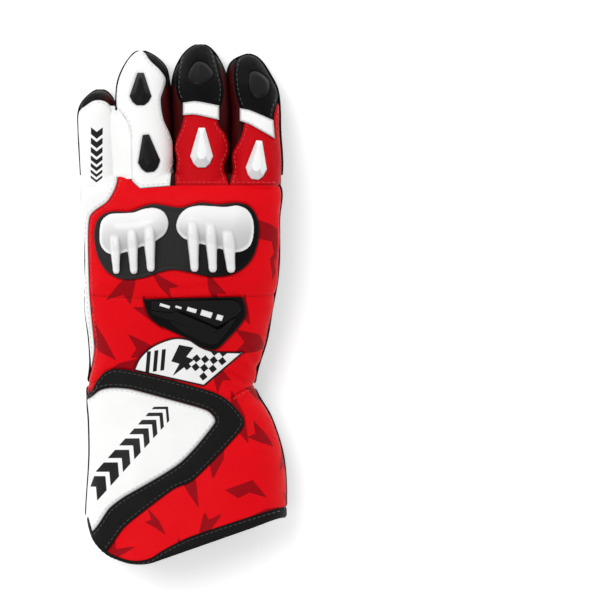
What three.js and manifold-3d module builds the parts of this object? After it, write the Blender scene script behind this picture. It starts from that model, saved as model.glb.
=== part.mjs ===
// Motorcycle racing glove for the left hand, lying palm down with its fingers along +Y.
// Millimetres, +Z up. X runs from the little finger's side to the thumb's side.
// Y runs from the cuff's hem to the fingertips.
// The leather is one hollow skin, cut into its sewn panels, with hard guards on its back.

import * as THREE from "three";
import { mergeVertices } from "three/addons/utils/BufferGeometryUtils.js";
import Module from "manifold-3d";

const wasm = await Module();
wasm.setup();

const WALL = 2.6; // leather with its padding and inner face
const SEAM = 0.3; // gap between two sewn panels
const FIT_GAP = 0.3; // gap between a guard and the leather under it
const HAND_SIDES = 26; // facets round the hand and cuff
const FINGER_SIDES = 12; // facets round a finger
const HAND_LINING_SIDES = 16; // the hollow is plainer than the outside
const FINGER_LINING_SIDES = 8;
const ROUNDNESS = 2.5; // exponent of the sections: 2 is an ellipse, more is squarer
const REACH = 200; // half size of a cutting block, past everything
const PAST_HEM = 10; // how far the hollow runs out past the hem
const BINDING_EXTRA = 0.8; // the hem's binding stands proud of the skin by this, inside and out
const FLAP_THICKNESS = 1.6;
const BADGE_THICKNESS = 1.1;
const BAND_THICKNESS = 1;
const KNUCKLE_BASE_THICKNESS = 2.4;
const PLATE_THICKNESS = 2.6;
const PLATE_CAP_THICKNESS = 2.2;
const VENT_SUNK = 0.5; // how far a vent's insert lies below the cap's face
const VENT_CLEARANCE = 0.2;
const FINGER_ROOT_Y = 244.5; // where the finger tubes leave the palm

// Sections across the glove, each in its own plane of constant y.
const HAND = [
  { y: -8, left: -59, right: 64, bottom: -0.5, top: 64 },
  { y: 30, left: -58.8, right: 64.8, bottom: -0.5, top: 64 },
  { y: 71, left: -56.5, right: 62, bottom: -0.5, top: 60 },
  { y: 92, left: -57, right: 55, bottom: 0, top: 55.5 },
  { y: 112, left: -58.5, right: 45, bottom: 4, top: 51 },
  { y: 121, left: -57, right: 46.5, bottom: 6, top: 52 },
  { y: 140, left: -57.5, right: 52.5, bottom: 12, top: 57.5 },
  { y: 159, left: -60, right: 56, bottom: 18, top: 63.5 },
  { y: 178, left: -60, right: 59.5, bottom: 23, top: 68 },
  { y: 198, left: -60, right: 60.5, bottom: 26, top: 71 },
  { y: 216, left: -61, right: 60.5, bottom: 28.5, top: 72 },
  { y: 236, left: -62, right: 61, bottom: 32, top: 67.5 },
  { y: 241, left: -58, right: 57, bottom: 36, top: 63 },
  { y: 243.5, left: -45, right: 45, bottom: 43, top: 56 },
];
const LITTLE = [
  { y: 230, left: -61.6, right: -40.3, bottom: 31.5, top: 64.5 },
  { y: 249, left: -62.8, right: -41, bottom: 26.5, top: 55 },
  { y: 273, left: -64.3, right: -41.7, bottom: 15, top: 43 },
  { y: 282, left: -64.5, right: -42, bottom: 9, top: 36.5 },
  { y: 288, left: -62.8, right: -42.6, bottom: 4, top: 30 },
  { y: 293, left: -58.5, right: -45.2, bottom: 0, top: 22 },
  { y: 296.5, left: -53.5, right: -49.5, bottom: 6, top: 11 },
];
const RING = [
  { y: 230, left: -38.2, right: -4.4, bottom: 30.5, top: 69.5 },
  { y: 249, left: -39.6, right: -5.2, bottom: 28, top: 61.5 },
  { y: 277, left: -40.2, right: -6.4, bottom: 20, top: 50.5 },
  { y: 291, left: -40.6, right: -7.4, bottom: 13, top: 43 },
  { y: 303, left: -39.4, right: -8.8, bottom: 5.5, top: 34.5 },
  { y: 311, left: -36.2, right: -10.8, bottom: 0.5, top: 26.5 },
  { y: 317, left: -32.3, right: -16.5, bottom: -0.5, top: 19 },
  { y: 321, left: -27.8, right: -24, bottom: 6, top: 10.5 },
];
const MIDDLE = [
  { y: 230, left: -2.9, right: 29, bottom: 30.5, top: 69.5 },
  { y: 249, left: -4, right: 29.8, bottom: 28, top: 62.5 },
  { y: 277, left: -5, right: 30.2, bottom: 20.5, top: 51.5 },
  { y: 291, left: -5.9, right: 29.4, bottom: 13.5, top: 44 },
  { y: 304, left: -5.2, right: 27.4, bottom: 5.5, top: 35 },
  { y: 313, left: -2.4, right: 24.2, bottom: 0.5, top: 26 },
  { y: 320, left: 2, right: 19.8, bottom: -0.5, top: 18.5 },
  { y: 325, left: 9, right: 13.8, bottom: 6, top: 10.5 },
];
const INDEX = [
  { y: 230, left: 29.8, right: 60.8, bottom: 30.5, top: 66.5 },
  { y: 248, left: 30.5, right: 62.3, bottom: 28, top: 61.5 },
  { y: 272, left: 30.9, right: 61, bottom: 21, top: 51.5 },
  { y: 286, left: 30.4, right: 60.7, bottom: 14, top: 44 },
  { y: 298, left: 29, right: 59, bottom: 7, top: 36 },
  { y: 306.5, left: 28.6, right: 54.6, bottom: 1.5, top: 27.5 },
  { y: 314, left: 31.2, right: 49.8, bottom: -0.5, top: 19.5 },
  { y: 318.5, left: 39.4, right: 44, bottom: 6, top: 10.5 },
];
// The thumb is folded under the palm, where the hand hides it from above.
const THUMB = [
  { y: 104, left: 22, right: 36, bottom: 10, top: 22 },
  { y: 116, left: 8, right: 44.5, bottom: 2, top: 30 },
  { y: 130, left: -1, right: 48, bottom: -0.5, top: 35 },
  { y: 146, left: -2, right: 52.5, bottom: -0.5, top: 37 },
  { y: 161, left: 3, right: 55.5, bottom: -0.5, top: 36 },
  { y: 176, left: 8.5, right: 51.5, bottom: -0.5, top: 31 },
  { y: 190, left: 9, right: 42.5, bottom: -0.5, top: 27 },
  { y: 208, left: 4.8, right: 33.5, bottom: -0.5, top: 24 },
  { y: 228.5, left: 5.5, right: 23.8, bottom: 3, top: 17.5 },
  { y: 232, left: 11.5, right: 17.5, bottom: 8, top: 12 },
];
const FINGERS = [LITTLE, RING, MIDDLE, INDEX];

// The side seam, seen from the side as [y, z]: back panels are above it and palm panels below.
const HAND_SIDE_SEAM = [
  [-60, 27], [71, 27], [112, 25], [150, 34], [190, 44], [236, 48], [300, 48],
];
const LITTLE_SIDE_SEAM = [
  [-60, 27], [112, 25], [150, 34], [190, 43], [236, 44.5], [262, 34], [282, 20.5], [296, 7.5], [340, 7.5],
];
const FINGER_SIDE_SEAM = [
  [200, 48], [236, 48], [249, 44.5], [263, 40.5], [277, 35], [290, 28], [302, 20.5], [316, 8.5], [340, 4],
];
const THUMB_SIDE_SEAM_Z = 12.5;

// The plan of the cuff: its slanted hem with a rounded corner on the little finger's side.
const HEM_LINE = [
  [80, 24], [64.5, 29], [42, 22], [-14, 2.5], [-20, 0.6], [-26, 0], [-33, 0.6], [-39, 2.5], [-45, 5],
  [-51, 9.5], [-56, 16], [-60, 28], [-80, 31],
];
const BINDING_LINE = [
  [80, 31], [64.5, 35.5], [5, 17], [-11, 9], [-19, 4], [-26, 2.2], [-33, 2.6], [-39, 4.4], [-45, 7],
  [-50, 11], [-54.4, 17], [-58.2, 29], [-80, 33],
];
// Where the hand's back meets the cuff's: under the cuff flap, then up to the notch of the wrist.
const WRIST_LINE = [
  [-80, 112], [-57, 113], [-50, 116], [-38, 117], [5, 108], [20, 102.5], [28, 103], [46, 112], [80, 113],
];
const WRIST_SEAM_UNDER_Y = 112;

// Outlines of the back panels in plan, as [x, y].
// Points past the glove's edge only carry a panel over the side.
const LITTLE_BACK = [
  [-80, 108], [-59, 113.5], [-56, 125], [-54.5, 135], [-57.5, 172], [-57, 217], [-45.5, 227], [-40, 239],
  [-43, 284], [-46.5, 288.5], [-51, 290.3], [-56, 289.7], [-64, 284.5], [-80, 280],
];
const RING_BACK = [
  [-26, 234.5], [-7, 236], [-5.8, 246], [-3, 253], [-4.5, 263], [-11, 277], [-12.7, 285], [-13, 291],
  [-10, 303], [-14, 309.5], [-20, 315.3], [-26, 325], [-45, 325], [-45, 290], [-35.8, 279], [-33, 271],
  [-32, 241],
];
const MIDDLE_BACK = [
  [29.6, 236.5], [26.3, 248], [29.6, 257.5], [29.4, 263], [27, 269], [23, 274], [22.5, 281], [16, 284.5],
  [9, 285.5], [1.5, 285], [1.2, 279], [-0.5, 272], [-4.7, 262], [-4.7, 258], [-3, 252.5], [-3.8, 246],
  [-3.6, 236.5],
];
const INDEX_BACK = [
  [80, 236.5], [80, 291], [61, 290], [59, 286], [57.6, 279], [57.5, 271.5], [42.5, 279], [39.3, 279.7],
  [38.8, 273.5], [36.8, 266], [32.2, 258], [31.2, 253.5], [32.2, 247.5], [30, 236.5],
];
const MIDDLE_CAP = [
  [1.5, 285.4], [9, 286], [16, 285], [22.6, 281.5], [25.5, 291], [25.5, 300], [17, 330], [2, 330],
  [-2, 313], [-3.3, 303], [-3, 294],
];
const INDEX_CAP = [
  [39.4, 280.1], [42.5, 279.5], [57.2, 272], [57.3, 279], [58.7, 286.4], [60.5, 290.4], [80, 291.5],
  [80, 300], [60, 325], [38, 325], [33, 311], [33, 300], [35, 290],
];
// The hand back's front edge, which humps up between the white panels.
const HAND_FRONT_LINE = [
  [-80, 236], [-44, 236], [-41, 241.6], [-31, 241.6], [-27, 236], [80, 236.2],
];

// Strips and patches that lie on the leather.
const FLAP_BORDER = [
  [-80, 93], [-57.5, 107], [-53, 114.5], [-48, 120], [-42, 122], [-32, 121], [-4, 114.5], [21, 107],
  [29, 102.3], [35.5, 95.5], [38.8, 90], [38, 85.5], [33, 79], [14, 59], [6, 52], [-4.5, 47.5],
  [-26, 31.5], [-36, 23], [-56, 0], [-80, 0],
];
const FLAP_PANEL = [
  [-80, 95], [-57.5, 104], [-51, 108.8], [-44, 110.3], [-32, 109.5], [11, 98], [17.5, 95.3], [21, 91],
  [21, 88.5], [0, 64], [-36, 42], [-45, 35], [-57.5, 19], [-80, 12],
];
const FINGER_BRIDGE = { left: -44, right: -32.4, back: 242.4, front: 283, sink: 7, proud: 1.2 };
const MIDDLE_BAND = [
  [0.8, 280.5], [8.5, 280.7], [23.4, 277.5], [23.4, 286.5], [8.5, 289.2], [0.8, 288.3],
];
const INDEX_BAND = [
  [36.3, 277], [42.5, 274.7], [58.2, 265.8], [57.3, 277.3], [42.5, 283.6], [36.3, 284.8],
];
const WRIST_BADGE = [
  [-27.5, 123.5], [-22, 129.5], [-14, 134], [-4, 136], [4, 135.5], [11, 131.5], [20, 130.5], [38, 132],
  [16, 113],
];

// Hard guards, drawn in plan.
const KNUCKLE_BASE = [
  [-54.5, 205.5], [-52.5, 214.5], [-47.5, 219], [-41, 220.3], [-32.5, 220], [-18, 224.7], [-1, 222.5],
  [12, 225.6], [23, 224.6], [34.5, 225.6], [41.5, 224], [46, 219], [48.2, 211], [47.5, 200.5], [44, 191],
  [37.5, 184], [29, 180.2], [17.5, 179.5], [-6, 183.8], [-23, 179], [-32.5, 177.7], [-40.5, 179],
  [-47.5, 184], [-52.5, 193],
];
const OUTER_SHELL = [
  [-51, 207], [-49.5, 214.5], [-44.5, 218.5], [-30, 219.5], [-23, 221.8], [-16.5, 222.3], [-11, 220],
  [-8, 214], [-9.5, 207], [-15.5, 202], [-31, 195.8], [-40, 193.5], [-46, 194.2], [-50.3, 199],
];
const INNER_SHELL = [
  [-3, 209.5], [-1.5, 217], [3.5, 222], [11, 223.8], [27.5, 223], [35, 223.8], [41, 221.3], [44.7, 215],
  [45, 205.5], [42.5, 198.3], [36, 194.8], [28, 195.8], [1.5, 203.3],
];
// Ribs of a knuckle shell: their middle line in plan from front to back, and their width.
const OUTER_RIBS = [
  { x0: -41.5, y0: 206, x1: -40.5, y1: 184.5, width: 5 },
  { x0: -31, y0: 211, x1: -29.6, y1: 185, width: 5.6 },
  { x0: -20.2, y0: 212, x1: -19, y1: 186.5, width: 6 },
];
const INNER_RIBS = [
  { x0: 6.8, y0: 215.5, x1: 8.2, y1: 186.5, width: 6.2 },
  { x0: 18, y0: 215, x1: 19.6, y1: 186, width: 6.2 },
  { x0: 28.6, y0: 209.5, x1: 30.8, y1: 186, width: 6.6 },
];
const WRIST_PLATE = [
  [-24, 165.5], [38, 167], [40, 160], [39.5, 154], [35.5, 148], [22.5, 134.7], [17.5, 134], [11, 136],
  [4, 140.5], [-15, 150], [-20.5, 155.5],
];
const WRIST_PLATE_CAP = [
  [-19.5, 164], [34, 164.7], [37, 159.5], [32.5, 153.5], [25, 148.7], [21, 147.8], [10, 153], [-6, 157.5],
  [-18.5, 159.7],
];
// Vents through the plate's cap: slanted slots on one falling line.
const VENTS = [
  { x: -10.3, y: 161.3, length: 6.4, width: 1.9 },
  { x: -1.8, y: 160.4, length: 4, width: 1.5 },
  { x: 6.5, y: 158.7, length: 6, width: 2.6 },
  { x: 15.6, y: 156.3, length: 7, width: 3.6 },
  { x: 23.8, y: 154, length: 4, width: 3.4 },
];
const VENT_FALL = 0.3; // the line's drop for each millimetre along x
const VENT_LEAN = 0.35; // how far a slot's ends lean, as a share of its width

// Finger guards: drops with a narrow front end, and low pads on two fingertips.
// Turn is in degrees, anticlockwise.
const DROPS = [
  { name: "ring_drop_front", on: RING, x: -25.8, y: 297, width: 13.8, length: 20.5, dark: true },
  { name: "ring_drop_rear", on: RING, x: -20.8, y: 256.5, width: 14, length: 23.5, dark: true, turn: 7 },
  { name: "middle_drop", on: MIDDLE, x: 12.6, y: 260, width: 14.4, length: 25, dark: false },
  { name: "index_drop", on: INDEX, x: 47.2, y: 252.3, width: 13.4, length: 24.5, dark: false, turn: -6 },
];
const DROP_OUTLINE = [
  [-0.14, 0.5], [0.14, 0.5], [0.5, -0.22], [0.36, -0.4],
  [0.17, -0.5], [-0.17, -0.5], [-0.36, -0.4], [-0.5, -0.22],
];
// Rings of a drop from its foot to its ridge, as shares of the outline and heights over the leather.
const DROP_RINGS = [
  { across: 1, along: 1, back: 0, lift: -4 },
  { across: 1, along: 1, back: 0, lift: 1.4 },
  { across: 0.42, along: 0.62, back: 0.02, lift: 4.4 },
];
const TIP_PADS = [
  { name: "middle_tip_pad", on: MIDDLE, x: 11.7, y: 307, width: 15.5, length: 14.5 },
  { name: "index_tip_pad", on: INDEX, x: 48, y: 300, width: 13, length: 17.5, turn: 22 },
];
const TIP_PAD_OUTLINE = [
  [-0.12, 0.5], [0.2, 0.42], [0.5, 0.02], [0.42, -0.25],
  [0.12, -0.48], [-0.28, -0.48], [-0.5, -0.16], [-0.34, 0.3],
];

const TIP_PAD_RINGS = [
  { share: 1, lift: -4 },
  { share: 1, lift: 1.2 },
  { share: 0.75, lift: 2 },
];

// Rings of a shell and of its ribs, from the foot up.
const SHELL_DOME = [
  { share: 1, lift: -4 },
  { share: 1, lift: 4.6 },
  { share: 0.88, lift: 8 },
  { share: 0.5, lift: 10 },
];
const RIB_ROUND = [
  { share: 1, lift: -4 },
  { share: 1, lift: 5 },
  { share: 0.5, lift: 8.6 },
];

const COLOURS = {
  red: { color: 0xd50a18, roughness: 0.55, metalness: 0 },
  white: { color: 0xf2f2f2, roughness: 0.5, metalness: 0 },
  black: { color: 0x111111, roughness: 0.6, metalness: 0 },
  base: { color: 0x2e2e2e, roughness: 0.45, metalness: 0 },
  shell: { color: 0xececec, roughness: 0.25, metalness: 0 },
  plate: { color: 0x1b1b1b, roughness: 0.35, metalness: 0 },
};

// A closed geometry as a solid that can be cut and joined.
function solidOf(geometry) {
  const bare = geometry.index ? geometry.toNonIndexed() : geometry.clone();
  bare.deleteAttribute("normal");
  bare.deleteAttribute("uv");
  const merged = mergeVertices(bare, 1e-4);
  const vertProperties = merged.attributes.position.array;
  const triVerts = new Uint32Array(merged.index.array);
  return new wasm.Manifold(new wasm.Mesh({ numProp: 3, vertProperties, triVerts }));
}

const joined = (solids) => solids.reduce((whole, next) => whole.add(next));

// A closed solid through rings that all have the same number of points, fanned shut at both ends.
function solidThroughRings(rings) {
  const count = rings[0].length;
  const middle = (ring) => ring.reduce((sum, p) => sum.add(p), new THREE.Vector3()).divideScalar(count);
  const positions = [];
  const triangle = (a, b, c) => positions.push(...a, ...b, ...c);
  for (let k = 0; k < count; k++) {
    const next = (k + 1) % count;
    for (let r = 0; r + 1 < rings.length; r++) {
      const [low, high] = [rings[r], rings[r + 1]];
      triangle(low[k], low[next], high[next]);
      triangle(low[k], high[next], high[k]);
    }
    triangle(middle(rings[0]), rings[0][next], rings[0][k]);
    triangle(middle(rings.at(-1)), rings.at(-1)[k], rings.at(-1)[next]);
  }
  const geometry = new THREE.BufferGeometry();
  geometry.setAttribute("position", new THREE.Float32BufferAttribute(positions, 3));
  return solidOf(geometry);
}

// A tube of sections, grown outwards all round by `grow`, or shrunk where it is negative.
// Its blunt end moves back with `back`, and its closed front end moves with `grow`.
function tube(sections, sides, grow = 0, back = 0) {
  const tipLength = 16;
  const tipY = sections.at(-1).y;
  const rings = sections.map((s, index) => {
    const tipShare = THREE.MathUtils.clamp(1 - (tipY - s.y) / tipLength, 0, 1);
    const y = index === 0 ? s.y - back : s.y + grow * tipShare;
    const halfWidth = Math.max((s.right - s.left) / 2 + grow, 0.5);
    const halfHeight = Math.max((s.top - s.bottom) / 2 + grow, 0.5);
    return Array.from({ length: sides }, (_, k) => {
      const angle = (2 * Math.PI * k) / sides;
      const [c, v] = [Math.cos(angle), Math.sin(angle)];
      const x = (s.left + s.right) / 2 + halfWidth * Math.sign(c) * Math.abs(c) ** (2 / ROUNDNESS);
      const z = (s.bottom + s.top) / 2 + halfHeight * Math.sign(v) * Math.abs(v) ** (2 / ROUNDNESS);
      return new THREE.Vector3(x, y, z);
    }).reverse();
  });
  return solidThroughRings(rings);
}

// Height of a tube's upper face over a point of the plan.
function topOf(sections, x, y) {
  const index = Math.max(1, sections.findIndex((s) => s.y >= y));
  const [before, after] = [sections[index - 1], sections[index]];
  const share = THREE.MathUtils.clamp((y - before.y) / (after.y - before.y), 0, 1);
  const at = (key) => THREE.MathUtils.lerp(before[key], after[key], share);
  const across = Math.abs((2 * x - at("left") - at("right")) / (at("right") - at("left")));
  const rise = Math.max(0, 1 - Math.min(across, 1) ** ROUNDNESS) ** (1 / ROUNDNESS);
  return (at("bottom") + at("top")) / 2 + ((at("top") - at("bottom")) / 2) * rise;
}

// Everything above or below an outline of the plan.
function prism(outline, low = -REACH, high = REACH) {
  const shape = new THREE.Shape(outline.map(([x, y]) => new THREE.Vector2(x, y)));
  const geometry = new THREE.ExtrudeGeometry(shape, { depth: high - low, bevelEnabled: false });
  return solidOf(geometry.translate(0, 0, low));
}

// Everything above a seam that is drawn from the side as [y, z], moved by `lift`.
function aboveSeam(seam, lift = 0) {
  const outline = [...seam.map(([y, z]) => [y, z + lift]), [seam.at(-1)[0], REACH], [seam[0][0], REACH]];
  const shape = new THREE.Shape(outline.map(([y, z]) => new THREE.Vector2(y, z)));
  const geometry = new THREE.ExtrudeGeometry(shape, { depth: 2 * REACH, bevelEnabled: false });
  const toSide = new THREE.Matrix4().makeBasis(
    new THREE.Vector3(0, 1, 0), new THREE.Vector3(0, 0, 1), new THREE.Vector3(1, 0, 0));
  return solidOf(geometry.applyMatrix4(toSide).translate(-REACH, 0, 0));
}

function block(x0, x1, y0, y1, z0, z1) {
  const geometry = new THREE.BoxGeometry(x1 - x0, y1 - y0, z1 - z0);
  return solidOf(geometry.translate((x0 + x1) / 2, (y0 + y1) / 2, (z0 + z1) / 2));
}

// An outline with every side moved outwards by `distance`, or inwards where it is negative.
function grown(outline, distance) {
  const area = THREE.ShapeUtils.area(outline.map(([x, y]) => new THREE.Vector2(x, y)));
  const turn = Math.sign(area);
  return outline.map(([x, y], k) => {
    const [px, py] = outline.at(k - 1);
    const [nx, ny] = outline[(k + 1) % outline.length];
    const along = new THREE.Vector2(x - px, y - py).normalize();
    const onward = new THREE.Vector2(nx - x, ny - y).normalize();
    const out = new THREE.Vector2(along.y + onward.y, -along.x - onward.x).normalize();
    const stretch = 1 / Math.max(0.5, Math.sqrt((1 + along.dot(onward)) / 2));
    return [x + turn * distance * stretch * out.x, y + turn * distance * stretch * out.y];
  });
}

// Rings of a shape that sits on a tube: each an outline and its height over the tube's upper face.
function draped(sections, rings) {
  const turned = THREE.ShapeUtils.area(rings[0].outline.map(([x, y]) => new THREE.Vector2(x, y))) < 0;
  return solidThroughRings(rings.map(({ outline, lift }) => {
    const ring = outline.map(([x, y]) => new THREE.Vector3(x, y, topOf(sections, x, y) + lift));
    return turned ? ring.reverse() : ring;
  }));
}

// An outline drawn in a box one unit across, put in its place.
function placed(outline, { x, y, width, length, turn = 0 }, scale = 1) {
  const angle = THREE.MathUtils.degToRad(turn);
  const [cos, sin] = [Math.cos(angle), Math.sin(angle)];
  return outline.map((point) => {
    const [across, along] = [point[0] * width * scale, point[1] * length * scale];
    return [x + across * cos - along * sin, y + across * sin + along * cos];
  });
}

// An outline scaled towards its own middle.
function scaled(outline, factor) {
  const middle = [0, 1].map((axis) => outline.reduce((sum, p) => sum + p[axis], 0) / outline.length);
  return outline.map((p) => p.map((value, axis) => middle[axis] + (value - middle[axis]) * factor));
}

// A strip's outline with round ends along a middle line.
function stadium({ x0, y0, x1, y1 }, radius) {
  const perEnd = 4;
  const heading = Math.atan2(y1 - y0, x1 - x0);
  const end = (x, y, start) => Array.from({ length: perEnd }, (_, k) => {
    const angle = start + (Math.PI * k) / (perEnd - 1);
    return [x + radius * Math.cos(angle), y + radius * Math.sin(angle)];
  });
  return [...end(x1, y1, heading - Math.PI / 2), ...end(x0, y0, heading + Math.PI / 2)];
}

const glove = new THREE.Group();
const offset = new THREE.Group(); // moves the drawing's origin to the middle of the glove's footprint
glove.add(offset);

function addPiece(name, solid, colour) {
  const mesh = solid.getMesh();
  const geometry = new THREE.BufferGeometry();
  geometry.setAttribute("position", new THREE.BufferAttribute(mesh.vertProperties, 3));
  geometry.setIndex(new THREE.BufferAttribute(mesh.triVerts, 1));
  geometry.computeVertexNormals();
  const piece = new THREE.Mesh(geometry, new THREE.MeshStandardMaterial(COLOURS[colour]));
  piece.name = name;
  offset.add(piece);
}

// The largest of a solid's separate bodies: slivers that a cut leaves are dropped.
function mainBody(solid) {
  const bodies = solid.decompose();
  return bodies.reduce((most, next) => (next.volume() > most.volume() ? next : most));
}

// The hollow skin of the whole glove but the thumb, flat where it rests on the floor.
const floor = block(-REACH, REACH, -REACH, 2 * REACH, 0, REACH);
const liningFloor = block(-REACH, REACH, -REACH, 2 * REACH, WALL, REACH);
const handOuter = (grow) => joined([
  tube(HAND, HAND_SIDES, grow),
  ...FINGERS.map((sections) => tube(sections, FINGER_SIDES, grow)),
]);
const thumbOuter = tube(THUMB, FINGER_SIDES).intersect(floor);
const thumbInner = tube(THUMB, FINGER_LINING_SIDES, -WALL).intersect(liningFloor);
const hollow = joined([
  tube(HAND, HAND_LINING_SIDES, -WALL, PAST_HEM),
  ...FINGERS.map((sections) => tube(sections, FINGER_LINING_SIDES, -WALL)),
]).intersect(liningFloor);
const outside = handOuter(0).intersect(floor);

const movedAlong = (outline, distance) => outline.map(([x, y]) => [x, y + distance]);
const pastFingers = [[-REACH, 2 * REACH], [REACH, 2 * REACH]];
const hemCut = prism([...HEM_LINE, ...pastFingers]);
const cuffCut = prism([...movedAlong(BINDING_LINE, SEAM), ...pastFingers]);
const bindingCut = prism([...HEM_LINE, ...BINDING_LINE.toReversed()]);
const skin = outside.subtract(hollow).subtract(thumbInner).intersect(hemCut);

// Back panels: each is cut from the skin by its outline in plan, above the side seam.
const handBackOutline = [...WRIST_LINE, ...HAND_FRONT_LINE.toReversed()];
const beforeHem = [[REACH, -REACH], [-REACH, -REACH]];
const cuffBackOutline = [...movedAlong(WRIST_LINE, -SEAM), ...beforeHem];
const fingerPanels = [
  { name: "little_finger_back", outline: LITTLE_BACK, seam: LITTLE_SIDE_SEAM, colour: "white" },
  { name: "ring_finger_back", outline: RING_BACK, seam: FINGER_SIDE_SEAM, colour: "white" },
  { name: "middle_finger_back", outline: MIDDLE_BACK, seam: FINGER_SIDE_SEAM, colour: "red" },
  { name: "index_finger_back", outline: INDEX_BACK, seam: FINGER_SIDE_SEAM, colour: "red" },
  { name: "middle_finger_cap", outline: MIDDLE_CAP, seam: FINGER_SIDE_SEAM, colour: "black" },
  { name: "index_finger_cap", outline: INDEX_CAP, seam: FINGER_SIDE_SEAM, colour: "black" },
];
const cutterOf = ({ outline, seam }, gap) => prism(grown(outline, gap)).intersect(aboveSeam(seam, -gap));
let rest = skin;
for (const panel of fingerPanels) {
  addPiece(panel.name, mainBody(skin.intersect(cutterOf(panel, -SEAM / 2))), panel.colour);
  rest = rest.subtract(cutterOf(panel, SEAM / 2));
}
const aboveSide = aboveSeam(HAND_SIDE_SEAM);
const aboveSideGap = aboveSeam(HAND_SIDE_SEAM, -SEAM);
const backSkin = rest.intersect(aboveSide);
addPiece("hand_back", mainBody(backSkin.intersect(prism(handBackOutline))), "red");
addPiece("cuff_back", mainBody(backSkin.intersect(prism(cuffBackOutline)).intersect(cuffCut)), "red");

// Palm panels: what is left below the side seam, cut across at the wrist and at the finger roots.
const backOutline = [...movedAlong(HAND_FRONT_LINE, SEAM), ...beforeHem];
const under = rest.subtract(aboveSideGap.intersect(prism(backOutline)));
const underBand = (y0, y1) => block(-REACH, REACH, y0, y1, -REACH, REACH);
const cuffUnder = under.intersect(underBand(-REACH, WRIST_SEAM_UNDER_Y - SEAM)).intersect(cuffCut);
addPiece("hand_palm", mainBody(under.intersect(underBand(WRIST_SEAM_UNDER_Y, FINGER_ROOT_Y))), "black");
addPiece("cuff_under", mainBody(cuffUnder), "black");
const fingerWraps = under.intersect(underBand(FINGER_ROOT_Y + SEAM, 2 * REACH));
const FINGER_WRAPS = [
  { name: "little_finger_palm", left: -REACH, right: -41.3 },
  { name: "ring_finger_palm", left: -41.3, right: -4.9 },
  { name: "middle_finger_palm", left: -6.6, right: 30.4 },
  { name: "index_finger_palm", left: 28.4, right: REACH },
];
for (const { name, left, right } of FINGER_WRAPS) {
  const bodies = fingerWraps.decompose().filter((body) => {
    const { min, max } = body.boundingBox();
    return (min[0] + max[0]) / 2 > left && (min[0] + max[0]) / 2 < right;
  });
  addPiece(name, bodies.reduce((most, next) => (next.volume() > most.volume() ? next : most)), "black");
}

// The thumb: a tube of its own that opens into the palm.
const thumb = thumbOuter.subtract(thumbInner).subtract(handOuter(SEAM));
const thumbTop = block(-REACH, REACH, -REACH, REACH * 2, THUMB_SIDE_SEAM_Z + SEAM / 2, REACH);
const thumbLow = block(-REACH, REACH, -REACH, REACH * 2, -REACH, THUMB_SIDE_SEAM_Z - SEAM / 2);
addPiece("thumb_back", mainBody(thumb.intersect(thumbTop)), "black");
addPiece("thumb_palm", mainBody(thumb.intersect(thumbLow)), "black");

// The hem's binding is folded round the edge, a little thicker than the skin.
const bindingFloor = block(-REACH, REACH, -REACH, REACH, WALL + BINDING_EXTRA, REACH);
const bindingInner = tube(HAND, HAND_LINING_SIDES, -WALL - BINDING_EXTRA, PAST_HEM);
const bindingHollow = bindingInner.intersect(bindingFloor);
const bindingSkin = tube(HAND, HAND_SIDES, BINDING_EXTRA).intersect(floor).subtract(bindingHollow);
addPiece("cuff_binding", mainBody(bindingSkin.intersect(bindingCut)), "black");

// A layer over the leather, from `lift` to `lift + thickness` above it, inside an outline.
function layer(sections, sides, outline, lift, thickness) {
  const shell = tube(sections, sides, lift + thickness).subtract(tube(sections, sides, lift));
  return shell.intersect(prism(outline));
}
const handLayer = (outline, lift, thickness) =>
  layer(HAND, HAND_SIDES, outline, lift, thickness).intersect(aboveSide);

// The cuff flap: a white panel framed by a black border, both wrapped over the little finger's side.
const bindingSweepPlan = [...HEM_LINE, ...movedAlong(BINDING_LINE, SEAM).toReversed()];
const bindingSweep = tube(HAND, HAND_SIDES, WALL).intersect(prism(bindingSweepPlan));
const flap = (outline) => handLayer(outline, FIT_GAP, FLAP_THICKNESS).intersect(hemCut).subtract(bindingSweep);
addPiece("flap_panel", mainBody(flap(grown(FLAP_PANEL, -SEAM / 2))), "white");
const flapFrame = flap(FLAP_BORDER).subtract(prism(grown(FLAP_PANEL, SEAM / 2)));
addPiece("flap_border", mainBody(flapFrame), "black");
const badge = handLayer(WRIST_BADGE, FIT_GAP, BADGE_THICKNESS)
  .subtract(prism(grown(FLAP_BORDER, SEAM)))
  .subtract(prism(grown(WRIST_PLATE, SEAM)));
addPiece("wrist_badge", mainBody(badge), "white");

// White bands across two fingers.
const FINGER_BANDS = [
  { name: "middle_band", on: MIDDLE, outline: MIDDLE_BAND },
  { name: "index_band", on: INDEX, outline: INDEX_BAND },
];
for (const { name, on, outline } of FINGER_BANDS) {
  const band = layer(on, FINGER_SIDES, outline, FIT_GAP, BAND_THICKNESS).intersect(aboveSeam(FINGER_SIDE_SEAM));
  addPiece(name, mainBody(band), "white");
}

// The bridge: padding sewn into the valley between the little and ring fingers.
function fingerBridge() {
  const { left, right, back, front, sink, proud } = FINGER_BRIDGE;
  const steps = 4;
  const narrowing = 0.35; // share of the width that is lost towards the fingertips
  const rings = Array.from({ length: steps + 1 }, (_, k) => {
    const y = THREE.MathUtils.lerp(back, front, k / steps);
    const x1 = THREE.MathUtils.lerp(left, right, 1 - narrowing * (k / steps) ** 2);
    const [z0, z1] = [topOf(LITTLE, left, y), topOf(RING, x1, y)];
    return [[left, z0 - sink], [left, z0 + proud], [x1, z1 + proud], [x1, z1 - sink]]
      .map(([x, z]) => new THREE.Vector3(x, y, z));
  });
  return mainBody(solidThroughRings(rings).subtract(handOuter(FIT_GAP)));
}
addPiece("finger_bridge", fingerBridge(), "white");

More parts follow.
